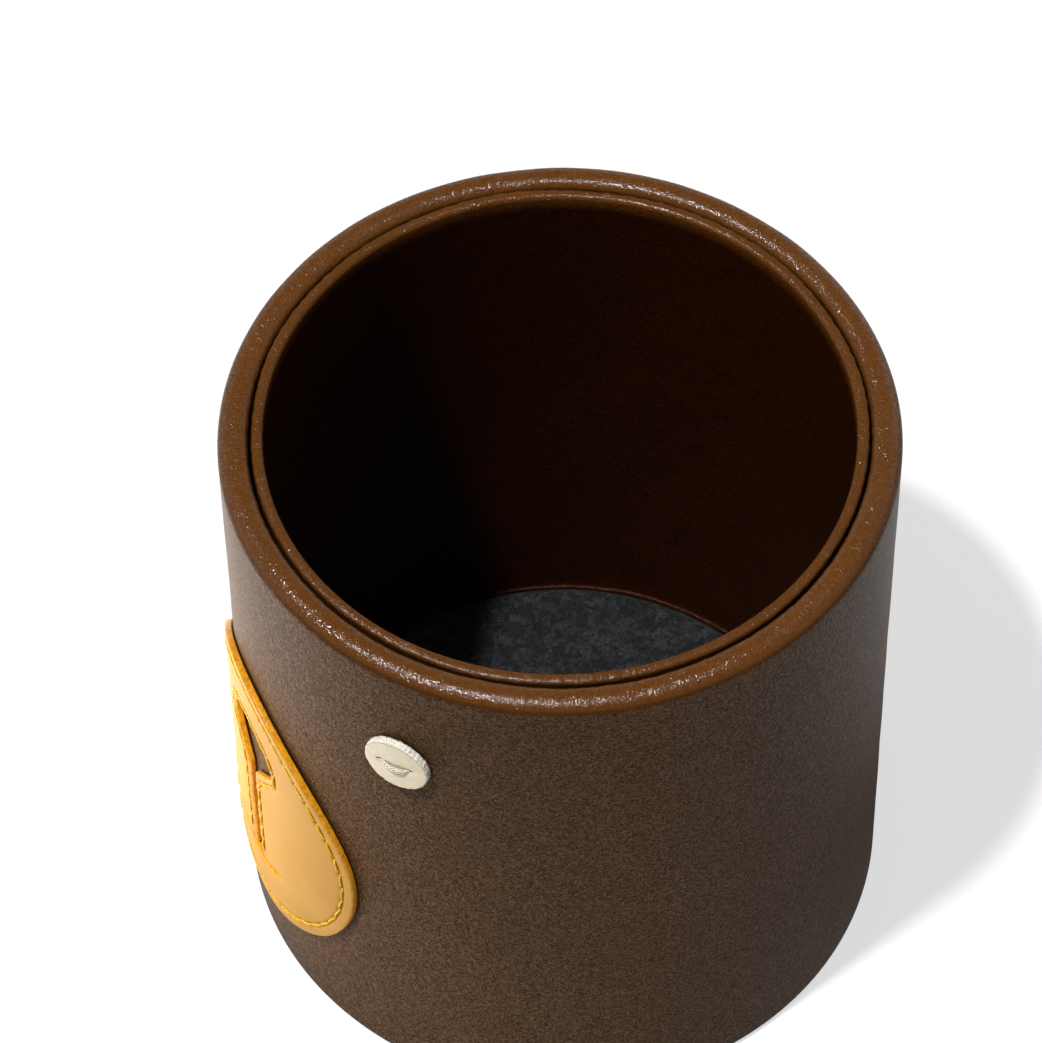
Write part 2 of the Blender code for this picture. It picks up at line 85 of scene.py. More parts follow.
# Cut leathers: how far they are pressed into the cover, how far their foot is drawn in, how far
# their cut edge bulges, the depth at which the pressed mark is full, that mark on their foot
# and back, which paints shade there, and the least mesh size
SEATING = 0.0006
UNDERCUT = 0.00028
EDGE_BULGE = 0.00005
FULL_PRESS = 0.0003
FOOT_SHADE_MARK = 2.0
LEAST_MESH = 0.00008

# The photograph, in its own pixels, and the camera that was fitted to it.
# Lengths are shares of the cup's radius and angles are in radians.
PHOTO_WIDTH = 1042
PHOTO_HEIGHT = 1043
SENSOR_WIDTH = 36.0
FOCAL_PIXELS = 5427.49
CAMERA_DISTANCE_SHARE = 16.1863
CAMERA_AIM_SHARES = (-0.1176, 0.0, 1.6434)
CAMERA_ELEVATION = 0.9420
CAMERA_ROLL = -0.0175
FACE_TURN = 1.1942


def millimetres(name, description, value):
    """Length property whose default is given in millimetres."""
    return bpy.props.FloatProperty(
        name=name, description=description, default=value / 1000, min=0, unit="LENGTH", precision=5
    )


def colour(name, description, value):
    """Colour property in linear light."""
    return bpy.props.FloatVectorProperty(
        name=name, description=description, default=value, size=3, min=0, max=1, subtype="COLOR"
    )


class PenCupSizes(bpy.types.PropertyGroup):
    cover_thickness: millimetres("Cover leather", "Thickness of the cover leather", 0.9)
    lining_thickness: millimetres("Lining leather", "Thickness of the lining leather", 0.7)
    roll_radius: millimetres("Rim roll", "Radius of the rolled rim", 2.0)
    turn_in: millimetres("Turn-in", "How far the cover goes down inside the rim", 12.0)
    hem_width: millimetres("Base hem", "Width of the hem under the base", 8.5)
    flange: millimetres("Flange", "Width of the lining's flange round the felt", 0.45)
    patch_width: millimetres("Muzzle width", "Width of the muzzle along the cup", 43.6)
    nose_width: millimetres("Nose width", "Width of the nose opening", 12.4)
    nose_length: millimetres("Nose length", "Height of the nose opening above the slot", 11.0)
    nose_rise: millimetres("Nose rise", "Top of the nose above the muzzle's widest level", 14.5)
    slot_width: millimetres("Slot width", "Width of the slot under the nose", 1.9)
    mouth_width: millimetres("Mouth width", "Distance between the ends of the mouth", 12.2)
    mouth_drop: millimetres("Mouth drop", "Mouth below the muzzle's widest level", 16.1)
    mouth_smile: millimetres("Smile", "Rise of the ends of the mouth", 2.0)
    mouth_slot: millimetres("Mouth slot", "Width of the mouth's cut", 0.9)
    edge_stitch_inset: millimetres("Edge stitch inset", "Stitch line inside the muzzle's edge", 1.8)
    nose_stitch_inset: millimetres("Nose stitch inset", "Stitch line outside the nose", 1.2)
    stitch_pitch: millimetres("Stitch pitch", "Distance between stitch holes", 3.0)
    thread_radius: millimetres("Thread radius", "Half the width of the muzzle thread", 0.19)
    eye_width: millimetres("Eye width", "Diameter of an eye", 8.6)
    eye_hole_spacing: millimetres("Eye holes", "Distance between the holes of an eye", 4.1)
    eye_thread_radius: millimetres("Eye thread radius", "Half the width of the eye thread", 0.36)
    eye_angle: bpy.props.FloatProperty(
        name="Eye angle", description="Eye round the cup from the middle of the muzzle",
        default=math.radians(39.85), unit="ROTATION",
    )


class PenCupColours(bpy.types.PropertyGroup):
    rim_brown: colour("Rim brown", "Cover leather stretched over the rim", (0.134, 0.0445, 0.0062))
    wall_brown: colour("Wall brown", "Cover leather on the wall", (0.113, 0.0500, 0.0145))
    grain_brown: colour("Grain brown", "Tops of the cover leather's grain", (0.270, 0.180, 0.105))
    # Crease brown is the leather's own crease colour, and also paints shade in the rim's groove, at the
    # foot of the roll and at the muzzle's foot
    crease_and_shade_brown: colour("Crease brown", "Cover leather in its creases", (0.034, 0.0125, 0.0035))
    # The lining below its fold is the fold's leather made much darker, which paints the shade inside the
    # cup
    shaded_lining_brown: colour("Lining brown", "Lining leather", (0.036, 0.0080, 0.0008))
    fold_brown: colour("Fold brown", "Lining leather on its fold", (0.122, 0.040, 0.0048))
    # Felt dark is the felt's own dark wool, and also paints the shade at the eyes' foot
    dark_felt_and_foot_shade: colour("Felt dark", "Dark wool of the felt", (0.0040, 0.0044, 0.0056))
    felt_light: colour("Felt light", "Pale wool of the felt", (0.046, 0.048, 0.053))
    muzzle_tan: colour("Muzzle tan", "Face of the muzzle leather", (0.475, 0.250, 0.046))
    muzzle_deep: colour("Muzzle deep", "Darker clouds in the muzzle leather", (0.410, 0.202, 0.034))
    edge_orange: colour("Edge orange", "Painted edge of the muzzle", (0.800, 0.330, 0.010))
    edge_shade: colour("Edge shade", "Thin places of the edge paint", (0.400, 0.125, 0.004))
    thread_yellow: colour("Thread yellow", "Muzzle thread", (0.960, 0.620, 0.020))
    # Thread shade paints the shade between the muzzle thread's plies
    thread_shade: colour("Thread shade", "Muzzle thread between its plies", (0.420, 0.150, 0.003))
    # Eye cream is the eye leather's own colour, and also paints the glints in the muzzle's edge paint
    eye_cream_and_paint_glint: colour("Eye cream", "Face of the eye leather", (0.900, 0.800, 0.600))
    eye_edge: colour("Eye edge", "Cut edge of the eye leather", (0.950, 0.915, 0.790))
    eye_thread: colour("Eye thread", "Thread of the eyes", (0.840, 0.800, 0.690))
    # Eye thread shade paints the shade between the eye thread's plies
    eye_thread_shade: colour("Eye thread shade", "Eye thread between its plies", (0.200, 0.145, 0.085))
    board_grey: colour("Board grey", "Board under the leather", (0.340, 0.320, 0.290))
    underside_brown: colour("Underside brown", "Leather of the underside", (0.070, 0.036, 0.018))


# Shader maths

class Value:
    """A shader socket that takes part in sums. Each sum adds its Math node."""

    def __init__(self, finish, socket):
        self.finish = finish
        self.socket = socket

    def sum_with(self, operation, first, second):
        return self.finish.node("ShaderNodeMath", {"operation": operation}, {0: first, 1: second})

    def __add__(self, other):
        return self.sum_with("ADD", self, other)

    def __sub__(self, other):
        return self.sum_with("SUBTRACT", self, other)

    def __mul__(self, other):
        return self.sum_with("MULTIPLY", self, other)

    def __radd__(self, other):
        return self.sum_with("ADD", other, self)

    def __rsub__(self, other):
        return self.sum_with("SUBTRACT", other, self)

    def __rmul__(self, other):
        return self.sum_with("MULTIPLY", other, self)

    def above(self, low, high):
        """0 below low, 1 above high and smooth between them."""
        settings = {"interpolation_type": "SMOOTHSTEP"}
        return self.finish.node("ShaderNodeMapRange", settings, {0: self, 1: low, 2: high, 3: 0.0, 4: 1.0})

    def most(self, other):
        return self.sum_with("MAXIMUM", self, other)

    def away(self):
        """How far the value is from 0."""
        return self.most(self * -1.0)


class Finish:
    """Node tree of a material or of the world."""

    def __init__(self, owner):
        self.owner = owner
        owner.use_nodes = True
        self.tree = owner.node_tree
        self.tree.nodes.clear()

    def node(self, kind, settings=None, inputs=None, output=0):
        """Add a node, set its settings, feed its inputs and give one of its outputs."""
        made = self.tree.nodes.new(kind)
        for name, value in (settings or {}).items():
            setattr(made, name, value)
        for name, value in (inputs or {}).items():
            socket = made.inputs[name]
            if isinstance(value, Value):
                self.tree.links.new(value.socket, socket)
            else:
                socket.default_value = (*value, 1.0) if socket.type == "RGBA" else value
        return Value(self, made.outputs[output]) if len(made.outputs) else None

    def place(self):
        """Position in the row frame, in metres."""
        return self.node("ShaderNodeTexCoord", output=3)

    def mark(self, name):
        """Value that a mesh carries on its points."""
        return self.node("ShaderNodeAttribute", {"attribute_name": name}, output=2)

    def noise(self, size, detail=2.0, roughness=0.5, distortion=0.0, at=None):
        """Clouds about size metres across, around 0.5."""
        inputs = {"Scale": 1 / size, "Detail": detail, "Roughness": roughness, "Distortion": distortion}
        return self.node("ShaderNodeTexNoise", None, {**inputs, "Vector": at or self.place()})

    def cells(self, size):
        """Distance inside cells about size metres across."""
        return self.node("ShaderNodeTexVoronoi", None, {"Scale": 1 / size, "Vector": self.place()})

    def creases(self, size, width, distortion):
        """A maze of fine creases: 0 along them and 1 on the grain between."""
        return (self.noise(size, 1.0, 0.5, distortion) - 0.5).away().above(0.0, width)

    def vector(self, operation, first, second=None, output=0):
        """Vector Math. Its second input is a number for SCALE and otherwise a vector."""
        inputs = {0: first}
        if second is not None:
            inputs["Scale" if operation == "SCALE" else 1] = second
        return self.node("ShaderNodeVectorMath", {"operation": operation}, inputs, output)

    def scaled(self, tone, share):
        """A colour made darker or lighter by a share."""
        return self.vector("SCALE", tone, share)

    def along(self, vector, direction):
        """How far a vector goes in a direction."""
        return self.vector("DOT_PRODUCT", vector, direction, 1)

    def across_rim(self):
        """The position drawn onto one ring, so that a pattern runs straight over the rim."""
        level = self.vector("MULTIPLY", self.place(), (1.0, 1.0, 0.0))
        ring = self.vector("SCALE", self.vector("NORMALIZE", level), CUP_RADIUS)
        return self.vector("ADD", ring, self.vector("SCALE", self.place(), 0.3))

    def blend(self, share, first, second):
        """Mix two colours."""
        return self.node("ShaderNodeMix", {"data_type": "RGBA"}, {0: share, 6: first, 7: second}, output=2)

    def bump(self, height, distance):
        """Normal bent by a height of up to distance metres."""
        return self.node("ShaderNodeBump", None, {"Height": height, "Distance": distance})

    def shader(self, tone, rough, normal, level=0.5, **more):
        """Principled shader with a specular level."""
        inputs = {"Base Color": tone, "Roughness": rough, "Normal": normal, "Specular IOR Level": level}
        return self.node("ShaderNodeBsdfPrincipled", None, {**inputs, **more})

    def mixed(self, share, first, second):
        """Mix two shaders."""
        return self.node("ShaderNodeMixShader", None, {0: share, 1: first, 2: second})

    def surface(self, shader):
        """Put the shader on the material's surface and give the material."""
        self.node("ShaderNodeOutputMaterial", None, {"Surface": shader})
        return self.owner


def material_finish(name):
    """Finish of a new material."""
    return Finish(bpy.data.materials.new(name))


def rim_leather(name, across, grit):
    """Start a leather that is stretched over the rim: its finish, two marks and four grains."""
    finish = material_finish(name)
    pebble = finish.noise(0.00021, 1.0, 0.5, 0.6)
    grain = finish.noise(0.00042, 1.0, 0.5, 0.9)
    across = finish.noise(across, 1.0, 0.5, 0.5, finish.across_rim())
    grit = finish.noise(grit, 1.0, 0.5, 0.5)
    return finish, finish.mark("roll"), finish.mark("groove"), pebble, grain, across, grit


def two_coats(finish, tone, rough, normal, levels, share):
    """Dry leather, and a share of it under a gloss. levels are their specular levels."""
    dry, glossy = (finish.shader(tone, rough, normal, level) for level in levels)
    return finish.surface(finish.mixed(share, dry, glossy))


def cover_leather_finish(colours):
    """Dry, finely grained brown leather, glossy and warmer where it is stretched over the rim, with painted
    shade in the groove between the rolls and in a band at the foot of the roll.
    """
    finish, ramp, groove, pebble, grain, across, grit = rim_leather("cover_leather", 0.00028, 0.00024)
    roll = ramp.above(0.0, 0.50)
    wide = finish.noise(0.016, 2.0)
    worn = finish.noise(0.0035, 3.0, 0.6)
    pits = pebble.above(0.60, 0.40) * (0.54 - roll * 0.38)
    pits = pits + grain.above(0.54, 0.36) * (0.42 - roll * 0.18)
    raised = pebble.above(0.46, 0.64) + grain.above(0.46, 0.64)
    # Painted shade: a dark band at the foot of the roll, where it meets the wall
    shadow = ramp.above(0.0, 0.30) * (1.0 - ramp.above(0.34, 0.76)) * 0.68
    tone = finish.blend(roll, colours.wall_brown, colours.rim_brown)
    # The grain's pits get the crease colour; the groove between the rolls and the band at the roll's foot
    # get it as painted shade
    tone = finish.blend(pits.most(shadow).most(groove * 0.95), tone, colours.crease_and_shade_brown)
    tone = finish.blend(raised * (0.14 - roll * 0.12), tone, colours.grain_brown)
    # The groove is darkened further as painted shade
    tone = finish.scaled(tone, (0.84 + wide * 0.16 + worn * 0.12) * (1.0 - groove * 0.6))
    height = pebble * (0.42 - roll * 0.34) + grain * (1.00 - roll * 0.72)
    normal = finish.bump(height + (grit * 0.44 + across * 0.38) * roll, 0.00017)
    rough = 0.35 - roll * 0.18 + (pebble - 0.5) * 0.14
    fleck = (across * 0.6 + grit * 0.4).above(0.45, 0.60)
    share = (ramp.above(0.30, 0.85) * (0.30 + fleck * 0.70)).most(raised * raised * 0.10)
    return two_coats(finish, tone, rough, normal, (0.04, 0.95), share)


def lining_leather_finish(colours):
    """Darker, smoother leather of the lining, glossy on its rim; its darker colour below the fold paints
    the shade inside the cup, and the groove between the rolls gets painted shade.
    """
    finish, ramp, groove, pebble, grain, across, grit = rim_leather("lining_leather", 0.00025, 0.00020)
    crease = finish.creases(0.0011, 0.050, 0.9)
    wrinkle = finish.creases(0.0030, 0.030, 0.8)
    wide = finish.noise(0.012, 2.0)
    pits = pebble.above(0.60, 0.38) * (0.50 - ramp * 0.26)
    pits = pits + (1.0 - crease * wrinkle) * (0.32 - ramp * 0.24)
    # Below its fold the lining is much darker, which paints the shade inside the cup
    tone = finish.blend(ramp, colours.shaded_lining_brown, colours.fold_brown)
    # The grain's pits are darker, and the groove between the rolls is darkened as painted shade
    tone = finish.blend(pits.most(groove * 0.95), tone, finish.scaled(tone, 0.22))
    tone = finish.scaled(tone, 0.84 + wide * 0.28)
    height = pebble * (0.40 - ramp * 0.34) + grain * (0.60 - ramp * 0.30) + (crease + wrinkle) * 0.20
    normal = finish.bump(height + (grit * 0.22 + across * 0.24) * ramp, 0.00015)
    rough = 0.40 - ramp * 0.16 + (pebble - 0.5) * 0.14
    fleck = (across * 0.6 + grit * 0.4).above(0.45, 0.60)
    return two_coats(finish, tone, rough, normal, (0.12, 0.55), ramp * (0.35 + fleck * 0.65))


def underside_leather_finish(colours):
    """Matt backing leather."""
    finish = material_finish("underside_leather")
    cloud = finish.noise(0.0012, 4.0, 0.6, 0.4)
    fibre = finish.noise(0.0003, 3.0, 0.7)
    tone = finish.blend(cloud.above(0.35, 0.7) * 0.6, colours.underside_brown, colours.crease_and_shade_brown)
    normal = finish.bump(cloud + fibre * 0.5, 0.00006)
    return finish.surface(finish.shader(tone, 0.66 + (fibre - 0.5) * 0.2, normal))


def felt_finish(colours):
    """Charcoal wool felt: matted clumps and stray pale fibres."""
    finish = material_finish("charcoal_felt")
    clump = finish.noise(0.0017, 3.0, 0.62, 0.8)
    tuft = finish.noise(0.00060, 2.0, 0.6, 1.2)
    fine = finish.noise(0.00022, 2.0, 0.6, 1.0)
    strand = finish.noise(0.0011, 2.0, 0.5, 3.0) - 0.5
    other = finish.noise(0.0008, 2.0, 0.5, 4.0) - 0.5
    line = strand.away().above(0.028, 0.0).most(other.away().above(0.022, 0.0))
    light = clump.above(0.44, 0.60) * (0.22 + tuft.above(0.44, 0.58) * 0.50) + tuft.above(0.48, 0.62) * 0.22
    light = light + line * fine.above(0.42, 0.56) * clump.above(0.40, 0.56) * 0.75
    tone = finish.blend(light, colours.dark_felt_and_foot_shade, colours.felt_light)
    normal = finish.bump(clump * 1.2 + tuft + fine * 0.5 + line * 0.4, 0.00026)
    sheen = {"Sheen Weight": 0.05, "Sheen Roughness": 0.6}
    return finish.surface(finish.shader(tone, 0.96, normal, 0.10, **sheen))


def muzzle_leather_finish(colours):
    """Smooth tan leather with thick, uneven orange paint on its cut edges, pale flecks in the paint that
    are painted glints, and painted shade at its foot.
    """
    finish = material_finish("muzzle_leather")
    edge, pressed = finish.mark("edge"), finish.mark("pressed")
    cloud = finish.noise(0.009, 3.0, 0.55, 0.4)
    pore = finish.cells(0.00042)
    fine = finish.noise(0.0004, 3.0, 0.6)
    streak = finish.noise(0.0007, 3.0, 0.65, 0.6)
    fleck = finish.noise(0.00030, 2.0, 0.6, 0.8)
    painted = (edge + (fine - 0.5) * 0.30).above(0.55, 0.80)
    face = finish.blend(cloud.above(0.35, 0.75) * 0.45, colours.muzzle_tan, colours.muzzle_deep)
    face = finish.blend(pore.above(0.30, 0.05) * 0.20, face, colours.muzzle_deep)
    face = finish.blend(pressed.above(0.10, 0.65) * 0.55, face, colours.edge_shade)
    paint = finish.blend(streak.above(0.56, 0.34) * 0.58, colours.edge_orange, colours.edge_shade)
    # Painted glints: pale flecks in the edge paint
    paint = finish.blend(fleck.above(0.64, 0.72) * 0.55, paint, colours.eye_cream_and_paint_glint)
    tone = finish.blend(painted, face, paint)
    # Painted shade: the foot under the cut edge, marked above 1 in pressed, is painted near black
    tone = finish.blend(pressed.above(1.2, 1.8), tone, finish.scaled(colours.crease_and_shade_brown, 0.35))
    height = (pore.above(0.0, 0.35) * 0.35 + fine * 0.8) * (1.0 - painted * 0.5)
    normal = finish.bump(height + (streak * 2.2 + fleck * 0.9) * painted, 0.000036)
    rough = 0.50 - painted * 0.18 + (fine - 0.5) * 0.2
    return finish.surface(finish.shader(tone, rough, normal, 0.16))


def thread_finish(name, tint, shaded, roughness):
    """Twisted thread: fibres along the ply, painted shade in the valleys between plies and darker random
    knots.
    """
    finish = material_finish(name)
    fibre = finish.noise(0.00012, 2.0, 0.6)
    knot = finish.noise(0.00019, 1.0)
    # Painted shade in the valleys between the plies, and darker random knots along the thread
    between = finish.mark("valley").above(0.06, 0.60).most(knot.above(0.54, 0.42) * 0.55)
    tone = finish.blend(between + (fibre - 0.5) * 0.6, tint, shaded)
    rough = roughness + (fibre - 0.5) * 0.2
    return finish.surface(finish.shader(tone, rough, finish.bump(fibre, 0.00002)))


def eye_leather_finish(colours):
    """Cream leather with a paler, torn and fibrous cut edge, and painted shade at its foot."""
    finish = material_finish("eye_leather")
    edge, pressed = finish.mark("edge").above(0.45, 0.75), finish.mark("pressed")
    cloud = finish.noise(0.0018, 3.0, 0.6)
    fibre = finish.noise(0.00024, 2.0, 0.70, 0.8)
    pit = finish.noise(0.00028, 2.0, 0.6, 1.0)
    speck = finish.noise(0.00016, 1.0)
    shaded = cloud.above(0.4, 0.75) * 0.10 + speck.above(0.52, 0.36) * 0.14
    face = finish.blend(shaded, colours.eye_cream_and_paint_glint, colours.muzzle_tan)
    cut = finish.blend(pit.above(0.48, 0.30) * 0.60, colours.eye_edge, colours.underside_brown)
    tone = finish.blend(edge, face, cut)
    tone = finish.blend(pressed.above(0.30, 1.0) * 0.75, tone, colours.underside_brown)
    # Painted shade: the foot under the cut edge, marked above 1 in pressed, is painted near black
    tone = finish.blend(pressed.above(1.2, 1.8), tone, colours.dark_felt_and_foot_shade)
    normal = finish.bump(fibre * (0.25 + edge * 1.8) + pit * edge * 1.4 + cloud * 0.3, 0.00007)
    rough = 0.60 + (fibre - 0.5) * 0.2 + edge * 0.2
    return finish.surface(finish.shader(tone, rough, normal, 0.30))


def board_finish(colours):
    """Grey board with flecks."""
    finish = material_finish("grey_board")
    fleck = finish.noise(0.0009, 4.0, 0.7)
    tone = finish.blend(fleck.above(0.3, 0.7), colours.board_grey, colours.felt_light)
    return finish.surface(finish.shader(tone, 0.88 + (fleck - 0.5) * 0.1, finish.bump(fleck, 0.00008)))


# Meshes

def link(thing, name):
    """Put a mesh, lamp or camera into the scene."""
    placed = bpy.data.objects.new(name, thing)
    bpy.context.scene.collection.objects.link(placed)
    return placed


def show(name, bm, finish, node, marks=None):
    """Make a smooth piece from a bmesh, in place of a node, and let it ride on the cup."""
    bmesh.ops.recalc_face_normals(bm, faces=bm.faces)
    mesh = bpy.data.meshes.new(name)
    bm.to_mesh(mesh)
    bm.free()
    mesh.shade_smooth()
    mesh.materials.append(finish)
    for mark, values in (marks or {}).items():
        layer = mesh.attributes.new(mark, "FLOAT", "POINT")
        layer.data.foreach_set("value", np.array(values, np.float32))
    piece = link(mesh, name)
    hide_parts(node)
    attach(piece, BODY)


def clamped(value, low=0.0, high=1.0):
    """Value kept between two others."""
    return min(high, max(low, value))


def dent(depth, angle, seed, *waves):
    """Smooth unevenness round the cup, about 0 to twice depth, from a few whole numbers of waves."""
    draw = random.Random(seed)
    total = 0.0
    for count in waves:
        total += math.sin(count * angle + draw.uniform(0, math.tau)) * draw.uniform(0.6, 1.0)
    return depth * (1 + total / math.sqrt(len(waves)))


def round_to(radius, angle):
    """Point at an angle round the origin."""
    return radius * math.cos(angle), radius * math.sin(angle)


def arc(centre, radius, start, end, steps):
    """Points from one angle in degrees to another round a centre, both ends included."""
    points = []
    for step in range(steps + 1):
        x, z = round_to(radius, math.radians(start + (end - start) * step / steps))
        points.append((centre[0] + x, centre[1] + z))
    return points


def straight(start, end, steps):
    """Points on a line, its last one left out."""
    (x, z), (to_x, to_z) = start, end
    return [(x + (to_x - x) * step / steps, z + (to_z - z) * step / steps) for step in range(steps)]


def rolled(centre, outer, inner, height, outer_power, inner_power, steps):
    """Rolled edge from its outer side over the top to its inner side.

    A power of 2 is round, and a higher one is fuller, as where the edge is pressed flat.
    """
    points = []
    for step in range(steps + 1):
        across, up = round_to(1, math.pi * step / steps)
        reach, power = (outer, outer_power) if across >= 0 else (inner, inner_power)
        x = reach * math.copysign(abs(across) ** (2 / power), across)
        points.append((centre[0] + x, centre[1] + height * max(up, 0.0) ** (2 / power)))
    return points


def joined(parts):
    """Points of all the parts of a profile, and for each point the name of its part."""
    profile = [point for name, points in parts for point in points]
    return profile, [name for name, points in parts for point in points]


def turned(profile, columns, move, marks):
    """Turn a closed profile round the axis.

    move(index, angle) gives a point's radius and height, and each of marks(index) its value.
    """
    bm = bmesh.new()
    rows = [[] for point in profile]
    for angle in columns:
        for index, row in enumerate(rows):
            radius, level = move(index, angle)
            row.append(bm.verts.new((*round_to(radius, angle), level)))
    for index, row in enumerate(rows):
        following = rows[(index + 1) % len(rows)]
        for column in range(len(columns)):
            after = (column + 1) % len(columns)
            bm.faces.new((row[column], row[after], following[after], following[column]))
    spots = [index for angle in columns for index in range(len(profile))]
    return bm, {name: [mark(index) for index in spots] for name, mark in marks.items()}


def seam_dip(angle):
    """Depth of the cover at the seam in the back: a groove in a shallow hollow."""
    away = abs((angle - BACK + math.pi) % math.tau - math.pi) * CUP_RADIUS
    hollow = 0.00016 * math.exp(-((away / 0.0022) ** 2))
    return SEAM_DEPTH * max(0.0, 1 - away / SEAM_HALF_WIDTH) ** 0.7 + hollow


def cover_profile(sizes):
    """Closed profile of the cover, anticlockwise from the inner edge of the base hem."""
    thick, roll = sizes.cover_thickness, sizes.roll_radius
    foot = thick * 1.33
    roll_centre = (CUP_RADIUS - roll, CUP_HEIGHT - roll)
    foot_centre = (CUP_RADIUS - foot, foot)
    inner = CUP_RADIUS - 2 * roll
    hem_edge = CUP_RADIUS - sizes.hem_width
    turn_in = CUP_HEIGHT - sizes.turn_in
    return joined([
        ("hem", straight((hem_edge, thick * 0.3), (hem_edge + thick * 0.2, 0), 3)),
        ("hem", straight((hem_edge + thick * 0.2, 0), (foot_centre[0], 0), 14)),
        ("wall", arc(foot_centre, foot, -90, 0, 6)),
        ("wall", straight((CUP_RADIUS, foot), (CUP_RADIUS, roll_centre[1]), 46)[1:]),
        ("roll", rolled(roll_centre, roll, roll, roll, 2.0, 2.7, 36)),
        ("turn_in", straight((inner, roll_centre[1]), (inner, turn_in), 6)[1:]),
        ("back", [(inner, turn_in), (inner + thick, turn_in)]),
        ("back", arc(roll_centre, roll - thick, 180, 0, 10)),
        ("back", arc(foot_centre, foot - thick, 0, -90, 3)),
        ("back", [(hem_edge, thick)]),
    ])


def make_cover(sizes, finish):
    """Cover leather with a rolled, slightly uneven rim, a seam at the back and a pleated hem."""
    profile, places = cover_profile(sizes)
    roll_radius, roll_level = CUP_RADIUS - sizes.roll_radius, CUP_HEIGHT - sizes.roll_radius
    wall_low = sizes.cover_thickness * 2

    def round_roll(index):
        """How far round the roll a point lies: 0 on the wall, 1 at the groove."""
        radius, level = profile[index]
        return clamped(math.atan2(level - roll_level, radius - roll_radius) / math.pi)

    def mark(start, end):
        """Mark that rises from 0 to 1 between two places on the roll and stays 1 down inside."""
        def value(index):
            if places[index] == "roll":
                return clamped((round_roll(index) - start) / (end - start))
            return 1.0 if places[index] == "turn_in" else 0.0
        return value

    def move(index, angle):
        radius, level = profile[index]
        place = places[index]
        if place == "wall":
            swell = math.sin(math.pi * clamped((level - wall_low) / (roll_level - wall_low)))
            hollow = dent(0.00005, angle + level * 9, 4, 2, 3, 5)
            hollow += dent(0.00003, angle - level * 40, 8, 7, 11, 13)
            if level >= sizes.cover_thickness:
                radius -= swell * hollow + seam_dip(angle)
        elif place == "roll":
            turn = round_roll(index)
            across, up = round_to(1, math.pi * turn)
            cut = up * (dent(0.00007, angle, 11, 3, 5, 8) + dent(0.00004, angle, 12, 17, 23, 31))
            cut += seam_dip(angle) * max(0.0, 1 - turn / 0.06)
            if turn > 0.55:
                inward = (turn - 0.55) / 0.45
                cut += inward * dent(0.00006, angle, 13, 4, 9, 14)
                cut += inward * dent(0.00005, angle, 14, 61, 97, 131, 173)
            radius -= across * cut
            level -= up * cut
        elif place == "hem" and level < 0.0001:
            inward = min(1.0, (CUP_RADIUS - radius) / sizes.hem_width)
            level += inward * dent(0.00012, angle, 21, 37, 53, 71)
        elif place == "turn_in":
            radius += dent(0.00012, angle, 13, 4, 9, 14)
        return min(radius, CUP_RADIUS), clamped(level, 0.0, CUP_HEIGHT)

    # The columns are closer together at the seam
    angles = {math.tau * column / COLUMNS for column in range(COLUMNS)}
    for away in (0.00008, 0.00016, 0.00026, 0.00036, 0.00050):
        angles |= {away / CUP_RADIUS, math.tau - away / CUP_RADIUS}
    columns = [BACK + angle for angle in sorted(angles)]
    # The groove mark rises on the inner side of the roll and stays 1 inside, where the finish paints shade
    bm, marks = turned(profile, columns, move, {"roll": mark(0.0, 0.30), "groove": mark(0.80, 0.92)})
    show("cover", bm, finish, "outer_leather_cover", marks)


def make_lining(sizes, finish):
    """Lining leather with a folded rim and a flange that shows round the felt."""
    thick = sizes.lining_thickness
    outer, top, floor = LINING_HIGH.x, LINING_HIGH.z, LINING_LOW.z
    inner = outer - 2 * thick
    centre = (inner + thick, top - thick)
    pressed = CUP_RADIUS - 2 * sizes.roll_radius - centre[0]
    hem = CUP_HEIGHT - sizes.turn_in
    flange = inner - sizes.flange
    profile, places = joined([
        ("roll", rolled(centre, pressed, thick, thick, 2.7, 2.0, 24)),
        ("wall", straight((inner, centre[1]), (inner, floor + thick * 1.6), 44)[1:]),
        ("flange", arc((inner - thick * 0.6, floor + thick * 1.6), thick * 0.6, 0, -90, 4)),
        ("flange", arc((flange + thick * 0.5, floor + thick * 0.5), thick * 0.5, 90, 180, 5)),
        ("back", [(flange, floor), (inner + thick, floor), (inner + thick, hem), (outer, hem + thick)]),
    ])

    def move(index, angle):
        radius, level = profile[index]
        if places[index] == "roll":
            across, up = (radius - centre[0]) / thick, (level - centre[1]) / thick
            cut = dent(0.00005, angle, 31, 3, 7, 12) + dent(0.00002, angle, 32, 67, 101, 139)
            cut *= max(0.0, up) + max(0.0, across) * 0.8
            radius -= across * cut
            level -= up * cut
        elif places[index] == "wall":
            swell = math.sin(math.pi * min(1.0, (top - level) / (top - floor)))
            radius -= swell * dent(0.00012, angle + level * 15, 33, 2, 5, 9)
        elif places[index] == "flange":
            level += dent(0.00012, angle, 34, 5, 11, 19, 31)
        return radius, level

    columns = [math.tau * column / COLUMNS for column in range(COLUMNS)]
    marks = {
        "roll": lambda index: 1.0 if places[index] == "roll" else 0.0,
        # groove is 1 on the roll's outer side, next to the cover's roll, where the finish paints shade
        "groove": lambda index: max(0.0, 1 - index / 7),
    }
    bm, marks = turned(profile, columns, move, marks)
    show("lining", bm, finish, "inner_leather_lining", marks)


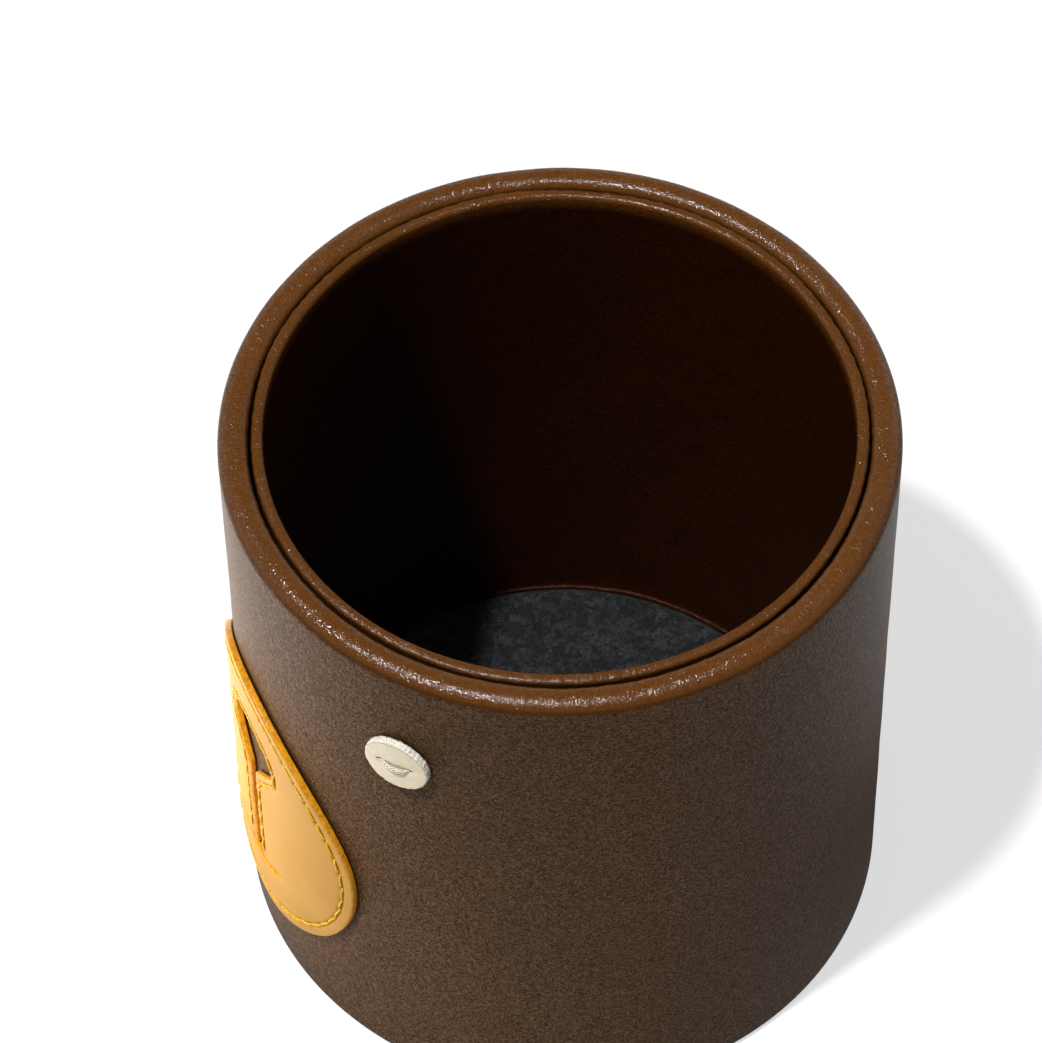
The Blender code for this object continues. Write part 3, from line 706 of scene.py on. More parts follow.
def make_felt(sizes, finish):
    """Felt disc with a matted, uneven surface and a soft edge, which reaches the lining's flange."""
    clearance, lumpiness, edge_drop, edge_start = 0.0001, 0.00012, 0.0004, 0.975
    radius = LINING_HIGH.x - 2 * sizes.lining_thickness - sizes.flange - clearance
    rings, columns = 90, 260
    draw = random.Random(5)
    limits = ((200, 900), (0, math.tau), (0, math.tau))
    lumps = [[draw.uniform(low, high) for low, high in limits] for lump in range(14)]
    bm = bmesh.new()
    rows = []
    for ring in range(rings + 1):
        share = ring / rings
        drop = edge_drop * max(0.0, (share - edge_start) / (1 - edge_start)) ** 2
        row = []
        for column in range(columns if ring else 1):
            x, y = round_to(radius * share, math.tau * column / columns)
            height = 0.0
            for frequency, facing, phase in lumps:
                height += math.sin(frequency * (x * math.cos(facing) + y * math.sin(facing)) + phase)
            level = FELT_HIGH.z - lumpiness - drop + lumpiness * (height / len(lumps))
            row.append(bm.verts.new((x, y, level)))
        rows.append(row)
    foot = [bm.verts.new((vertex.co.x, vertex.co.y, FELT_LOW.z)) for vertex in rows[-1]]
    rows.append(foot)
    for column in range(columns):
        after = (column + 1) % columns
        bm.faces.new((rows[0][0], rows[1][column], rows[1][after]))
        for inner, outer in zip(rows[1:], rows[2:]):
            bm.faces.new((inner[column], outer[column], outer[after], inner[after]))
    bm.faces.new(foot[::-1])
    show("felt", bm, finish, "felt_floor")


# Cut leathers, laid out flat and bent round the cup

def offset_loop(points, distance):
    """Move a closed loop to its right hand side by a distance."""
    moved = []
    for index, point in enumerate(points):
        first = (Vector(point) - Vector(points[index - 1])).normalized()
        second = (Vector(points[(index + 1) % len(points)]) - Vector(point)).normalized()
        normal = Vector((first.y + second.y, -first.x - second.x)).normalized()
        stretch = max(normal.dot(Vector((first.y, -first.x))), 0.5)
        moved.append(tuple(Vector(point) + normal * distance / stretch))
    return moved


def mirrored(points):
    """The points on the other side of the face's middle, in the opposite order."""
    return [(-x, z) for x, z in reversed(points)]


def ellipse(width, height, count):
    """Points round an ellipse, anticlockwise."""
    angles = [math.tau * step / count for step in range(count)]
    return [(width / 2 * math.cos(angle), height / 2 * math.sin(angle)) for angle in angles]


def bezier(start, start_handle, end_handle, end, steps):
    """Points along a cubic curve, its last point left out."""
    points = []
    for step in range(steps):
        t = step / steps
        a, b, c, d = (1 - t) ** 3, 3 * t * (1 - t) ** 2, 3 * t * t * (1 - t), t ** 3
        axes = zip(start, start_handle, end_handle, end)
        points.append(tuple(a * first + b * from_first + c * to_last + d * last
                            for first, from_first, to_last, last in axes))
    return points


def muzzle_outline(sizes):
    """Outline of the muzzle, anticlockwise from its right: a drawn-in top over half an ellipse."""
    half, quarter = sizes.patch_width / 2, 60
    right = bezier((half, 0), (half, PATCH_RISE * 0.5), (half * 0.42, PATCH_RISE), (0, PATCH_RISE), quarter)
    lower = ellipse(sizes.patch_width, 2 * PATCH_FALL, 4 * quarter)[2 * quarter + 1:]
    return right + [(0, PATCH_RISE)] + mirrored(right) + lower


def nose_side(sizes, margin, steps):
    """Right side of the nose from its top middle to the slot, moved out by a margin."""
    half = sizes.nose_width / 2 + margin
    top = sizes.nose_rise + margin
    widest = sizes.nose_rise - sizes.nose_length * 0.48
    slot = sizes.slot_width / 2 + margin
    junction = sizes.nose_rise - sizes.nose_length - margin * 0.4
    shoulder = widest + (top - widest) * 0.54
    cheek = widest - (widest - junction) * 0.24
    lip = (slot + (half - slot) * 0.38, junction + (widest - junction) * 0.38)
    upper = bezier((0, top), (half * 0.58, top), (half, shoulder), (half, widest), steps)
    lower = bezier((half, widest), (half, cheek), lip, (slot, junction), steps)
    return upper + lower + [(slot, junction)]


def mouth_point(sizes, x, rise):
    """Place above the middle of the mouth slot, at a distance from the middle of the face."""
    return x, sizes.mouth_smile * (2 * x / sizes.mouth_width) ** 2 - sizes.mouth_drop + rise


def nose_and_mouth_opening(sizes):
    """One opening: the nose, the slot below it and the two arms of the mouth."""
    half, reach, start = sizes.mouth_slot / 2, sizes.mouth_width / 2, sizes.slot_width / 2
    right = nose_side(sizes, 0, 22)
    right += straight(right[-1], mouth_point(sizes, start, half), 24)[1:]
    right += [mouth_point(sizes, start + (reach - start) * step / 10, half) for step in range(10)]
    right += arc(mouth_point(sizes, reach, 0), half, 90, -90, 10)
    right += [mouth_point(sizes, reach * (1 - step / 12), -half) for step in range(1, 13)]
    return right[::-1] + [(-x, z) for x, z in right[1:-1]]


def inside(point, loop):
    """Whether a point lies in a closed loop."""
    found = False
    x, z = point
    for index, (x1, z1) in enumerate(loop):
        x0, z0 = loop[index - 1]
        if (z0 > z) != (z1 > z) and x < x0 + (x1 - x0) * (z - z0) / (z1 - z0):
            found = not found
    return found


def distances(points, *lines):
    """Distance of each point from the nearest of some lines of points."""
    points = np.array(points)
    nearest = np.full(len(points), np.inf)
    for line in lines:
        for start, end in zip(line, line[1:]):
            start, along = np.array(start), np.array(end) - start
            share = np.clip((points - start) @ along / max(along @ along, 1e-18), 0, 1)
            nearest = np.minimum(nearest, np.linalg.norm(points - start - share[:, None] * along, axis=1))
    return nearest


def closed(loop):
    """A loop whose first point comes again at its end."""
    return loop + loop[:1]


def spaced(line, pitch):
    """Stitch holes at even steps along a line, from end to end, with a whole number of stitches."""
    line = [Vector(point) for point in line]
    lengths = [0]
    for before, after in zip(line, line[1:]):
        lengths.append(lengths[-1] + (after - before).length)
    count = round(lengths[-1] / pitch)
    found, segment = [], 0
    for step in range(count + 1):
        target = lengths[-1] * step / count
        while segment < len(line) - 2 and lengths[segment + 1] < target:
            segment += 1
        share = (target - lengths[segment]) / (lengths[segment + 1] - lengths[segment])
        found.append(tuple(line[segment].lerp(line[segment + 1], share)))
    return found


def wrap(x, z, height, middle, turn=0.0):
    """Place a point of a flat piece on the cup, height above the cover, turned from its front."""
    return Vector((*round_to(PATCH_INNER + height, FRONT + turn + x / CUP_RADIUS), middle + z))


def rounding(distance, radius):
    """Drop of a rounded edge at a distance inside it."""
    inward = np.clip(radius - distance, 0, radius)
    return radius - np.sqrt(np.maximum(radius * radius - inward * inward, 0))


def cut_leather(outline, openings, guides, grid, thickness, edge_radius, relief, middle, turn):
    """Bent leather from a flat outline with openings.

    guides are further points for the surface to follow, grid is its mesh size and
    relief(points) gives how far each point of the face is pressed in.
    It gives the bmesh and the marks edge and pressed.
    """
    loops = [outline] + openings
    points, edges = [], []
    for loop in loops:
        edges += [(len(points) + i, len(points) + (i + 1) % len(loop)) for i in range(len(loop))]
        points += [Vector(point) for point in loop]
    points += [Vector(point) for point in guides]
    draw = random.Random(17)
    taken = np.array([tuple(point) for point in points])
    across, up = (int(max(reach) / grid) + 1 for reach in zip(*outline))
    for i in range(-across, across + 1):
        for j in range(-up, up + 1):
            point = np.array(((i + 0.5 * (j % 2)) * grid, j * grid * 0.87))
            point += np.array((draw.uniform(-0.1, 0.1), draw.uniform(-0.1, 0.1))) * grid
            if np.min(np.linalg.norm(taken - point, axis=1)) > grid * 0.45:
                points.append(Vector(point))
    found = delaunay_2d_cdt(points, edges, [], 0, 1e-6)
    corners, faces = found[0], found[2]
    flat = np.array([tuple(corner) for corner in corners])

    kept = []
    for face in faces:
        centre = flat[list(face)].mean(0)
        if sum(inside(centre, loop) for loop in loops) % 2 == 1:
            a, b, c = (corners[index] for index in face)
            kept.append(tuple(face) if (b - a).cross(c - a) > 0 else tuple(reversed(face)))
    directed = {(t[i], t[(i + 1) % 3]) for t in kept for i in range(3)}
    border = [(start, end) for start, end in directed if (end, start) not in directed]

    gap = distances(flat, *[closed(loop) for loop in loops])
    pressed = relief(flat)
    heights = thickness - rounding(gap, edge_radius) - pressed
    bm = bmesh.new()
    marks = {"edge": [], "pressed": []}
    faced, backed, walls, outwards = {}, {}, {}, {}

    def add(spot, height, edge, press):
        marks["edge"].append(edge)
        marks["pressed"].append(press)
        return bm.verts.new(wrap(*spot, height, middle, turn))

    for index in sorted({index for triangle in kept for index in triangle}):
        edge = 1.0 - min(1.0, gap[index] / (edge_radius * 1.6))
        faced[index] = add(flat[index], heights[index], edge, min(1.0, pressed[index] / FULL_PRESS))
        # The back and the drawn-in foot carry the foot mark in pressed, which the finishes turn into
        # painted shade
        backed[index] = add(flat[index], -SEATING, 0.0, FOOT_SHADE_MARK)
    for start, end in border:
        along = flat[end] - flat[start]
        normal = np.array((along[1], -along[0])) / max(np.linalg.norm(along), 1e-9)
        for index in (start, end):
            outwards[index] = outwards.get(index, np.zeros(2)) + normal
    for index, normal in outwards.items():
        normal = normal / max(np.linalg.norm(normal), 1e-9)
        walls[index] = [faced[index]]
        for share in (0.80, 0.55, 0.38):
            spot = flat[index] + normal * EDGE_BULGE * math.sin(math.pi * share)
            walls[index].append(add(spot, heights[index] * share - SEATING * (1 - share), 1.0, 0.0))
        # The drawn-in foot is marked for painted shade
        for drawn_in, depth in ((0.3, 0.1), (1.0, 0.6)):
            spot = flat[index] - normal * UNDERCUT * drawn_in
            walls[index].append(add(spot, -GLUE_GAP * depth, 0.0, FOOT_SHADE_MARK))
        walls[index].append(backed[index])
    for a, b, c in kept:
        bm.faces.new((faced[a], faced[b], faced[c]))
        bm.faces.new((backed[c], backed[b], backed[a]))
    for start, end in border:
        first, second = walls[start], walls[end]
        for level in range(len(first) - 1):
            bm.faces.new((first[level + 1], second[level + 1], second[level], first[level]))
    return bm, marks


def thinned(points, taken, least):
    """Points that keep a distance from the taken ones and from each other."""
    cells, steps = {}, (-1, 0, 1)

    def cell(point):
        return math.floor(point[0] / least), math.floor(point[1] / least)

    for point in taken:
        cells.setdefault(cell(point), []).append(point)
    found = []
    for point in points:
        column, row = cell(point)
        near = [other for i in steps for j in steps for other in cells.get((column + i, row + j), [])]
        if all(math.dist(point, other) >= least for other in near):
            cells.setdefault((column, row), []).append(point)
            found.append(point)
    return found


def edge_guides(loops, steps):
    """Points that follow the cut edges a few steps inside the leather."""
    found = []
    for loop, outwards in loops:
        for step in steps:
            moved = offset_loop(loop, outwards * step)
            gaps = distances(moved, closed(loop))
            found += [point for point, gap in zip(moved, gaps) if gap > step * 0.85]
    return found


def rings_round(holes, reach):
    """Points in rings round stitch holes."""
    found = []
    for x, z in holes:
        found.append((x, z))
        for share in (0.35, 0.7, 1.1, 1.6):
            ring = [round_to(reach * share, math.tau * (step + share) / 8) for step in range(8)]
            found += [(x + across, z + up) for across, up in ring]
    return found


def edge_stitch_line(sizes):
    return closed(offset_loop(muzzle_outline(sizes), -sizes.edge_stitch_inset))


def nose_stitch_line(sizes):
    """Line up one side of the slot, round the nose and down the other side."""
    end_above_mouth = 0.0022
    right = nose_side(sizes, sizes.nose_stitch_inset, 20)
    slot = sizes.slot_width / 2 + sizes.nose_stitch_inset
    right.append(mouth_point(sizes, slot, sizes.mouth_slot / 2 + end_above_mouth))
    return mirrored(right[1:]) + right


def make_muzzle(sizes, finish):
    """Muzzle leather with its nose and mouth cut out, pressed by its stitches."""
    outline, opening = muzzle_outline(sizes), nose_and_mouth_opening(sizes)
    edge_line, nose_line = edge_stitch_line(sizes), nose_stitch_line(sizes)
    holes = spaced(edge_line, sizes.stitch_pitch)[:-1] + spaced(nose_line, sizes.stitch_pitch)
    groove_depth, groove_reach = 0.00016, 0.00034
    hole_depth, hole_reach = 0.00045, 0.00026
    grid, edge_radius, edge_margin = 0.0008, 0.00024, 0.00007
    edge_steps = (0.00008, 0.00018, 0.00030, 0.00048)
    stitch_steps = (-0.00075, -0.00045, -0.00022, 0.00022, 0.00045, 0.00075)

    def relief(points):
        beside = distances(points, edge_line, nose_line)
        near = np.min([np.linalg.norm(points - np.array(hole), axis=1) for hole in holes], axis=0)
        x, z = points[:, 0], points[:, 1]
        soft = 0.00004 * (1 + np.sin(x * 310 + z * 170 + 0.4) * np.sin(z * 260 - x * 120 + 1.7))
        groove = groove_depth * np.exp(-((beside / groove_reach) ** 2))
        return groove + hole_depth * np.exp(-((near / hole_reach) ** 2)) + soft

    guides = edge_guides([(outline, -1), (opening, -1)], edge_steps)
    for line, ends in ((edge_line[:-1], slice(1, None)), (nose_line, slice(1, -1))):
        for shift in stitch_steps:
            guides += offset_loop(line, shift)[ends]
        guides += line
    guides += rings_round(holes, hole_reach)
    away = distances(guides, closed(outline), closed(opening))
    guides = [point for point, gap in zip(guides, away) if gap > edge_margin]
    guides = thinned(guides, outline + opening, LEAST_MESH)
    pressing = (PATCH_THICKNESS, edge_radius, relief)
    bm, marks = cut_leather(outline, [opening], guides, grid, *pressing, PATCH_MIDDLE, 0.0)
    show("muzzle", bm, finish, "muzzle_patch", marks)


def ply_thread(bm, valley, line, radii, turns, start, sides=7, plies=3):
    """Twist plies round a line of points and note how deep each vertex lies between them."""
    count = len(line)
    for number in range(plies):
        rings = []
        for index, (point, radius) in enumerate(zip(line, radii)):
            ply = radius * 0.52
            tangent = (line[min(index + 1, count - 1)] - line[max(index - 1, 0)]).normalized()
            outwards = Vector((point.x, point.y, 0)).normalized()
            if abs(outwards.dot(tangent)) > 0.9:
                outwards = Vector((0, 0, 1))
            side = tangent.cross(outwards).normalized()
            lift = side.cross(tangent)
            phase = start + math.tau * (number / plies + turns * index / (count - 1))
            middle = point + (radius - ply) * (side * math.cos(phase) + lift * math.sin(phase))
            ring = []
            for step in range(sides):
                turn = math.tau * step / sides
                across, up = round_to(1, phase + turn)
                ring.append(bm.verts.new(middle + ply * (side * across + lift * up)))
                valley.append((0.5 - 0.5 * math.cos(turn)) ** 1.3)
            rings.append(ring)
        for ring, following in zip(rings, rings[1:]):
            for step in range(sides):
                after = (step + 1) % sides
                bm.faces.new((ring[step], ring[after], following[after], following[step]))
        bm.faces.new(rings[0][::-1])
        bm.faces.new(rings[-1])


def make_stitching(name, sizes, finish, line, node, seed):
    """Run of separate stitches, each rising from one hole and going down the next."""
    holes = [Vector(hole) for hole in spaced(line, sizes.stitch_pitch)]
    draw = random.Random(seed)
    bm, valley = bmesh.new(), []
    low, high = PATCH_THICKNESS - 0.00045, PATCH_THICKNESS - 0.00006
    samples = 18
    for start, end in zip(holes, holes[1:]):
        along = (end - start).normalized()
        across = Vector((-along.y, along.x))
        slant = draw.uniform(0.00005, 0.00013)
        bow = draw.uniform(-0.00005, 0.00005)
        points = []
        for step in range(samples + 1):
            share = step / samples
            rise = 1 - abs(2 * share - 1) ** 7
            lift = low + (high - low) * rise - 0.00005 * (2 * share - 1) ** 2
            beside = slant * (1 - 2 * share) * rise + bow * math.sin(math.pi * share)
            spot = start.lerp(end, 0.04 + 0.92 * share) + across * beside
            points.append(wrap(spot.x, spot.y, lift, PATCH_MIDDLE))
        radii = [sizes.thread_radius] * len(points)
        ply_thread(bm, valley, points, radii, 1.7, draw.uniform(0, math.tau))
    show(name, bm, finish, node, {"valley": valley})


def make_eye(name, sizes, finish, turn, node, seed):
    """Round eye leather with a raw edge and two stitch holes, pulled long by the thread."""
    grid, edge_radius, torn_depth = 0.00040, 0.00012, 0.030
    slit_width, slit_height, slit_inset = 0.0013, 0.00062, 0.0002
    press_depth, press_reach, press_sag = 0.00020, 0.00042, 0.0003
    edge_steps = (0.00008, 0.00018, 0.00034, 0.00060)
    draw = random.Random(seed)
    phases = [draw.uniform(0, math.tau) for count in range(3)]
    torn = [draw.uniform(0, torn_depth) for count in range(TORN_KNOTS)]
    outline = []
    for number, (x, z) in enumerate(ellipse(sizes.eye_width, sizes.eye_width * 1.02, 2 * TORN_KNOTS)):
        angle = math.atan2(z, x)
        share = 1 - 0.005 * (1 + sum(math.sin((n + 2) * angle + p) for n, p in enumerate(phases)) / 3)
        between = (number % 2) / 2
        share -= torn[number // 2] * (1 - between) + torn[(number // 2 + 1) % TORN_KNOTS] * between
        outline.append((x * share, z * share))
    slits, spots = [], []
    for side in (-1, 1):
        spots.append((side * sizes.eye_hole_spacing / 2, 0.0))
        middle = side * (sizes.eye_hole_spacing / 2 - slit_inset)
        slits.append([(middle + x, z) for x, z in ellipse(slit_width, slit_height, 32)])

    def relief(points):
        beside = distances(points, [spots[0], (0.0, -press_sag), spots[1]])
        return press_depth * np.exp(-((beside / press_reach) ** 2))

    loops = [(outline, -1)] + [(slit, 1) for slit in slits]
    guides = edge_guides(loops, edge_steps)
    guides = thinned(guides, outline + slits[0] + slits[1], LEAST_MESH)
    pressing = (EYE_THICKNESS, edge_radius, relief)
    bm, marks = cut_leather(outline, slits, guides, grid, *pressing, EYE_MIDDLE, turn)
    show(name, bm, finish, node, marks)


def make_eye_thread(name, sizes, finish, turn, node, seed):
    """One thick stitch that comes out of a slit, hangs a little across the eye and goes back in."""
    draw = random.Random(seed)
    half, radius, steps = sizes.eye_hole_spacing / 2, sizes.eye_thread_radius, 40
    sunk, hang, shift = 0.0004, 0.00052, 0.00008
    points, radii = [], []
    for step in range(steps + 1):
        share = 2 * step / steps - 1
        x = half * math.copysign(abs(share) ** 0.9, share)
        sag = hang * (1 - share * share)
        arch = max(0.0, 1 - abs(share) ** 3.2) ** 0.55
        lift = -sunk + (EYE_THICKNESS + sunk + radius * 0.55) * arch
        points.append(wrap(x, shift - sag, lift, EYE_MIDDLE, turn))
        radii.append(radius * (0.50 + 0.50 * math.cos(share * math.pi / 2) ** 0.8))
    bm, valley = bmesh.new(), []
    ply_thread(bm, valley, points, radii, 2.2, draw.uniform(0, math.tau), sides=9, plies=4)
    show(name, bm, finish, node, {"valley": valley})


# Stage

def heading(degrees):
    """Level direction round the cup."""
    return (*round_to(1, math.radians(degrees)), 0.0)


LEFT = heading(-135)
FRONT_LEFT = heading(-82)
RIGHT = heading(75)
BRIGHT_SIDE = heading(-156)
SHADED_SIDE = heading(95)
BEHIND = heading(175)
RAY_OUTPUTS = {"camera": 0, "glossy": 3, "transmission": 6}
WHITE = (1.0, 1.0, 1.0)
FLOOR_REACH = 6.0
FLOOR_GLOW = 1.245
FLOOR_GLOW_SHARE = 0.512
ROOM_GLOW = 0.03
KEY_STRENGTH = 3.3
KEY_ANGLE = math.radians(3.2)
KEY_PLACE = (0.105, -0.376, 1.0)
FILL_WATTS = 0.76
FILL_SIZE = (0.10, 0.20)
FILL_DISTANCE = 0.112


def rays(finish):
    """What the camera, reflections and glass ask for, each 1 or 0."""
    return {name: finish.node("ShaderNodeLightPath", output=index) for name, index in RAY_OUTPUTS.items()}


def floor_finish():
    """White floor that shows the cup's shadow. It throws little light back, apart from a painted glow in
    front of the cup and a little to its left, which lights the wall.

    In reflections it is a painted pool of light, brightest to the left of the cup and dim far from it, with
    a painted shadow near the cup on its shaded side.
    """
    finish = material_finish("white_floor")
    path, place = rays(finish), finish.place()
    seen = path["camera"].most(path["glossy"]).most(path["transmission"])
    distance = finish.vector("LENGTH", place, output=1)
    # Painted light and shade in reflections: brighter to the left of the cup, darker near the cup on its
    # shaded side where its shadow falls, and lifted again further out
    bright = finish.along(place, BRIGHT_SIDE).above(-0.005, 0.085)
    shaded = finish.along(place, SHADED_SIDE).above(0.01, 0.05)
    reflected = (0.38 + bright * 1.05) * (1.0 - distance.above(0.12, 0.24) * 0.9)
    lift = distance.above(0.050, 0.068) * 0.85 + distance.above(0.062, 0.085) * 0.80
    reflected = reflected * (1.0 - shaded * (0.80 - lift))
    strength = FLOOR_GLOW * (1.0 - path["glossy"] * (1.0 - reflected))
    # Painted glow: the floor just in front of the cup glows, for light thrown onto its wall
    thrown = finish.along(place, FRONT_LEFT).above(0.02, 0.06) * (1.0 - distance.above(0.08, 0.13)) * 1.15
    greys = [{"Color": (grey, grey, grey)} for grey in (0.80, 0.30)]
    pale, dim = (finish.node("ShaderNodeBsdfDiffuse", None, grey) for grey in greys)
    lights = [{"Color": WHITE, "Strength": value} for value in (strength, thrown)]
    glow, thrown = (finish.node("ShaderNodeEmission", None, light) for light in lights)
    dim = finish.node("ShaderNodeAddShader", None, {0: dim, 1: thrown})
    lifted = finish.mixed(FLOOR_GLOW_SHARE + path["glossy"] * 0.40, pale, glow)
    return finish.surface(finish.mixed(seen, dim, lifted))


def plain_floor():
    """Level floor far wider than the picture."""
    corners = [(x * FLOOR_REACH, y * FLOOR_REACH, 0) for x, y in ((-1, -1), (1, -1), (1, 1), (-1, 1))]
    mesh = bpy.data.meshes.new("floor")
    mesh.from_pydata(corners, [], [(0, 1, 2, 3)])
    mesh.materials.append(floor_finish())
    link(mesh, "floor")


def studio_world():
    """White surroundings for the camera; for the cup a white backdrop behind it in a dim room."""
    world = bpy.data.worlds.new("studio")
    bpy.context.scene.world = world
    finish = Finish(world)
    path = rays(finish)
    towards = finish.node("ShaderNodeTexCoord", output=0)
    height = finish.node("ShaderNodeSeparateXYZ", None, {0: towards}, output=2)
    backdrop = (1.0 - height.above(0.10, 0.40)) * finish.along(towards, BEHIND).above(-0.10, 0.40)
    reflected = path["glossy"].most(path["transmission"]) * (backdrop - ROOM_GLOW).most(0.0)
    overhead = height.above(0.90, 0.96) * 0.8 * (1.0 - path["glossy"])
    aside = finish.along(towards, RIGHT).above(0.0, 0.9) * (0.33 - path["glossy"] * 0.23)
    strength = path["camera"].most(ROOM_GLOW + reflected + overhead + aside)
    background = finish.node("ShaderNodeBackground", None, {"Color": WHITE, "Strength": strength})
    finish.node("ShaderNodeOutputWorld", None, {"Surface": background})


def hidden_lamp(name, kind, energy):
    """Lamp that lights the cup without showing itself."""
    lamp = bpy.data.lights.new(name, kind)
    lamp.energy = energy
    placed = link(lamp, name)
    placed.visible_camera = False
    placed.visible_glossy = False
    placed.visible_transmission = False
    return lamp, placed


def key_light():
    """Small high lamp from the front and a little to the right."""
    lamp, key = hidden_lamp("key", "SUN", KEY_STRENGTH)
    key.visible_glossy = True
    lamp.angle = KEY_ANGLE
    key.rotation_euler = Vector(KEY_PLACE).to_track_quat("Z", "Y").to_euler()


def fill_light():
    """Glow from the bright floor on the left, which reaches the wall and stays off the rim."""
    lamp, fill = hidden_lamp("fill", "AREA", FILL_WATTS)
    lamp.shape = "RECTANGLE"
    lamp.size, lamp.size_y = FILL_SIZE
    fill.location = (LEFT[0] * FILL_DISTANCE, LEFT[1] * FILL_DISTANCE, 0.001)
    fill.rotation_euler = (math.pi, 0, math.atan2(LEFT[1], LEFT[0]))


def photo_camera():
    """Camera that was fitted to the photograph, turned into the cup's own frame."""
    turn = Matrix.Rotation(FACE_TURN, 3, "Z")
    back = Vector((0, -math.cos(CAMERA_ELEVATION), math.sin(CAMERA_ELEVATION)))
    right = Vector((1, 0, 0))
    up = back.cross(right)
    level = math.cos(CAMERA_ROLL) * right + math.sin(CAMERA_ROLL) * up
    steep = -math.sin(CAMERA_ROLL) * right + math.cos(CAMERA_ROLL) * up
    aim = Vector(CAMERA_AIM_SHARES) * CUP_RADIUS
    place = turn @ (aim + back * CAMERA_DISTANCE_SHARE * CUP_RADIUS)
    axes = Matrix((turn @ level, turn @ steep, turn @ back)).transposed()
    lens = bpy.data.cameras.new("camera")
    lens.sensor_width = SENSOR_WIDTH
    lens.lens = SENSOR_WIDTH * FOCAL_PIXELS / max(PHOTO_WIDTH, PHOTO_HEIGHT)
    lens.clip_start = 0.01
    camera = link(lens, "camera")
    camera.matrix_world = Matrix.Translation(place) @ axes.to_4x4()
    bpy.context.scene.camera = camera


# Operators

def sizes_and_colours(context):
    """Property groups of the scene."""
    return context.scene.pen_cup_sizes, context.scene.pen_cup_colours


class PENCUP_OT_cover(bpy.types.Operator):
    """Make the cover leather with its rolled rim"""

    bl_idname = "pen_cup.cover"
    bl_label = "Cover"

    def execute(self, context):
        sizes, colours = sizes_and_colours(context)
        make_cover(sizes, cover_leather_finish(colours))
        return {"FINISHED"}


class PENCUP_OT_lining(bpy.types.Operator):
    """Make the lining leather with its fold and flange"""

    bl_idname = "pen_cup.lining"
    bl_label = "Lining"

    def execute(self, context):
        sizes, colours = sizes_and_colours(context)
        make_lining(sizes, lining_leather_finish(colours))
        return {"FINISHED"}


class PENCUP_OT_felt(bpy.types.Operator):
    """Make the felt on the cup's floor"""

    bl_idname = "pen_cup.felt"
    bl_label = "Felt floor"

    def execute(self, context):
        sizes, colours = sizes_and_colours(context)
        make_felt(sizes, felt_finish(colours))
        return {"FINISHED"}


class PENCUP_OT_boards(bpy.types.Operator):
    """Finish the boards inside the cup and the leather under it"""

    bl_idname = "pen_cup.boards"
    bl_label = "Boards and underside"

    def execute(self, context):
        sizes, colours = sizes_and_colours(context)
        board, leather = board_finish(colours), underside_leather_finish(colours)
        for name in ("outer_board_tube", "inner_board_tube", "base_board"):
            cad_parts[name].material_slots[0].material = board
        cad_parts["underside_leather"].material_slots[0].material = leather
        return {"FINISHED"}


class PENCUP_OT_muzzle(bpy.types.Operator):
    """Make the muzzle leather and its two runs of stitches"""

    bl_idname = "pen_cup.muzzle"
    bl_label = "Muzzle"

    def execute(self, context):
        sizes, colours = sizes_and_colours(context)
        make_muzzle(sizes, muzzle_leather_finish(colours))
        yellow = thread_finish("yellow_thread", colours.thread_yellow, colours.thread_shade, 0.42)
        make_stitching("edge_stitches", sizes, yellow, edge_stitch_line(sizes), "muzzle_edge_thread", 3)
        make_stitching("nose_stitches", sizes, yellow, nose_stitch_line(sizes), "nose_thread", 7)
        return {"FINISHED"}


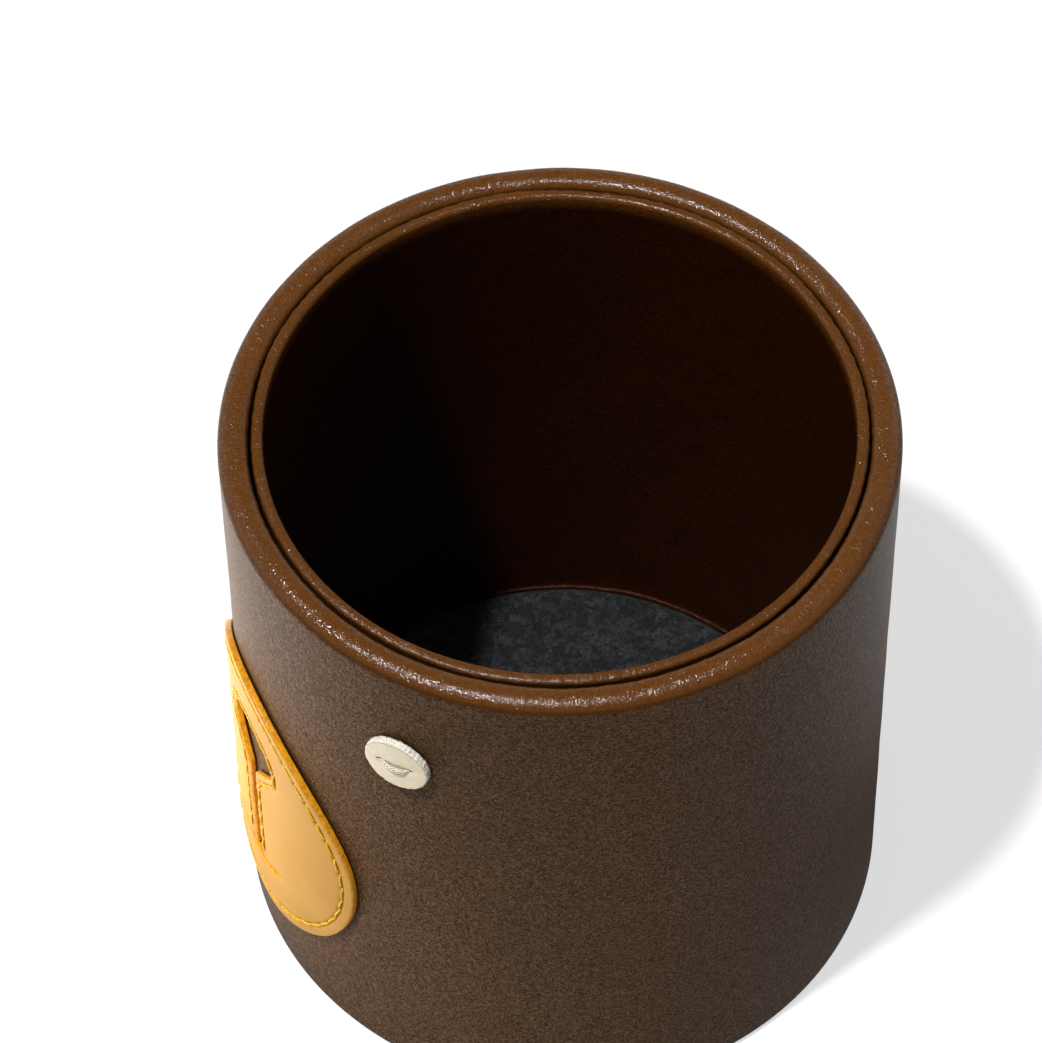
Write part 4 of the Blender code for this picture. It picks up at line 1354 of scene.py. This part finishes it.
class PENCUP_OT_eyes(bpy.types.Operator):
    """Make the two eye leathers and the stitch on each"""

    bl_idname = "pen_cup.eyes"
    bl_label = "Eyes"

    def execute(self, context):
        sizes, colours = sizes_and_colours(context)
        leather = eye_leather_finish(colours)
        thread = thread_finish("cream_thread", colours.eye_thread, colours.eye_thread_shade, 0.55)
        for side, turn in (("left", sizes.eye_angle), ("right", -sizes.eye_angle)):
            make_eye("eye_" + side, sizes, leather, turn, "eye_disc_" + side, 23)
            make_eye_thread("eye_stitch_" + side, sizes, thread, turn, "eye_thread_" + side, 29)
        return {"FINISHED"}


class PENCUP_OT_stage(bpy.types.Operator):
    """Make the floor, the light and the camera"""

    bl_idname = "pen_cup.stage"
    bl_label = "Stage"

    def execute(self, context):
        context.scene.view_settings.view_transform = "Standard"
        plain_floor()
        studio_world()
        key_light()
        fill_light()
        photo_camera()
        return {"FINISHED"}


OPERATORS = (
    PENCUP_OT_cover,
    PENCUP_OT_lining,
    PENCUP_OT_felt,
    PENCUP_OT_boards,
    PENCUP_OT_muzzle,
    PENCUP_OT_eyes,
    PENCUP_OT_stage,
)


class PENCUP_PT_panel(bpy.types.Panel):
    """Pieces of the pen cup, with their sizes and colours"""

    bl_label = "Pen Cup"
    bl_idname = "PENCUP_PT_panel"
    bl_space_type = "VIEW_3D"
    bl_region_type = "UI"
    bl_category = "Pen Cup"

    def draw(self, context):
        for group in sizes_and_colours(context):
            column = self.layout.column(align=True)
            for name in group.__annotations__:
                column.prop(group, name)
        column = self.layout.column()
        for operator in OPERATORS:
            column.operator(operator.bl_idname)


CLASSES = (PenCupSizes, PenCupColours, *OPERATORS, PENCUP_PT_panel)


def register():
    for kind in CLASSES:
        bpy.utils.register_class(kind)
    bpy.types.Scene.pen_cup_sizes = bpy.props.PointerProperty(type=PenCupSizes)
    bpy.types.Scene.pen_cup_colours = bpy.props.PointerProperty(type=PenCupColours)


def unregister():
    del bpy.types.Scene.pen_cup_colours
    del bpy.types.Scene.pen_cup_sizes
    for kind in reversed(CLASSES):
        bpy.utils.unregister_class(kind)


def main():
    register()
    bpy.ops.pen_cup.cover()
    bpy.ops.pen_cup.lining()
    bpy.ops.pen_cup.felt()
    bpy.ops.pen_cup.boards()
    bpy.ops.pen_cup.muzzle()
    bpy.ops.pen_cup.eyes()
    bpy.ops.pen_cup.stage()


if __name__ == "__main__":
    main()
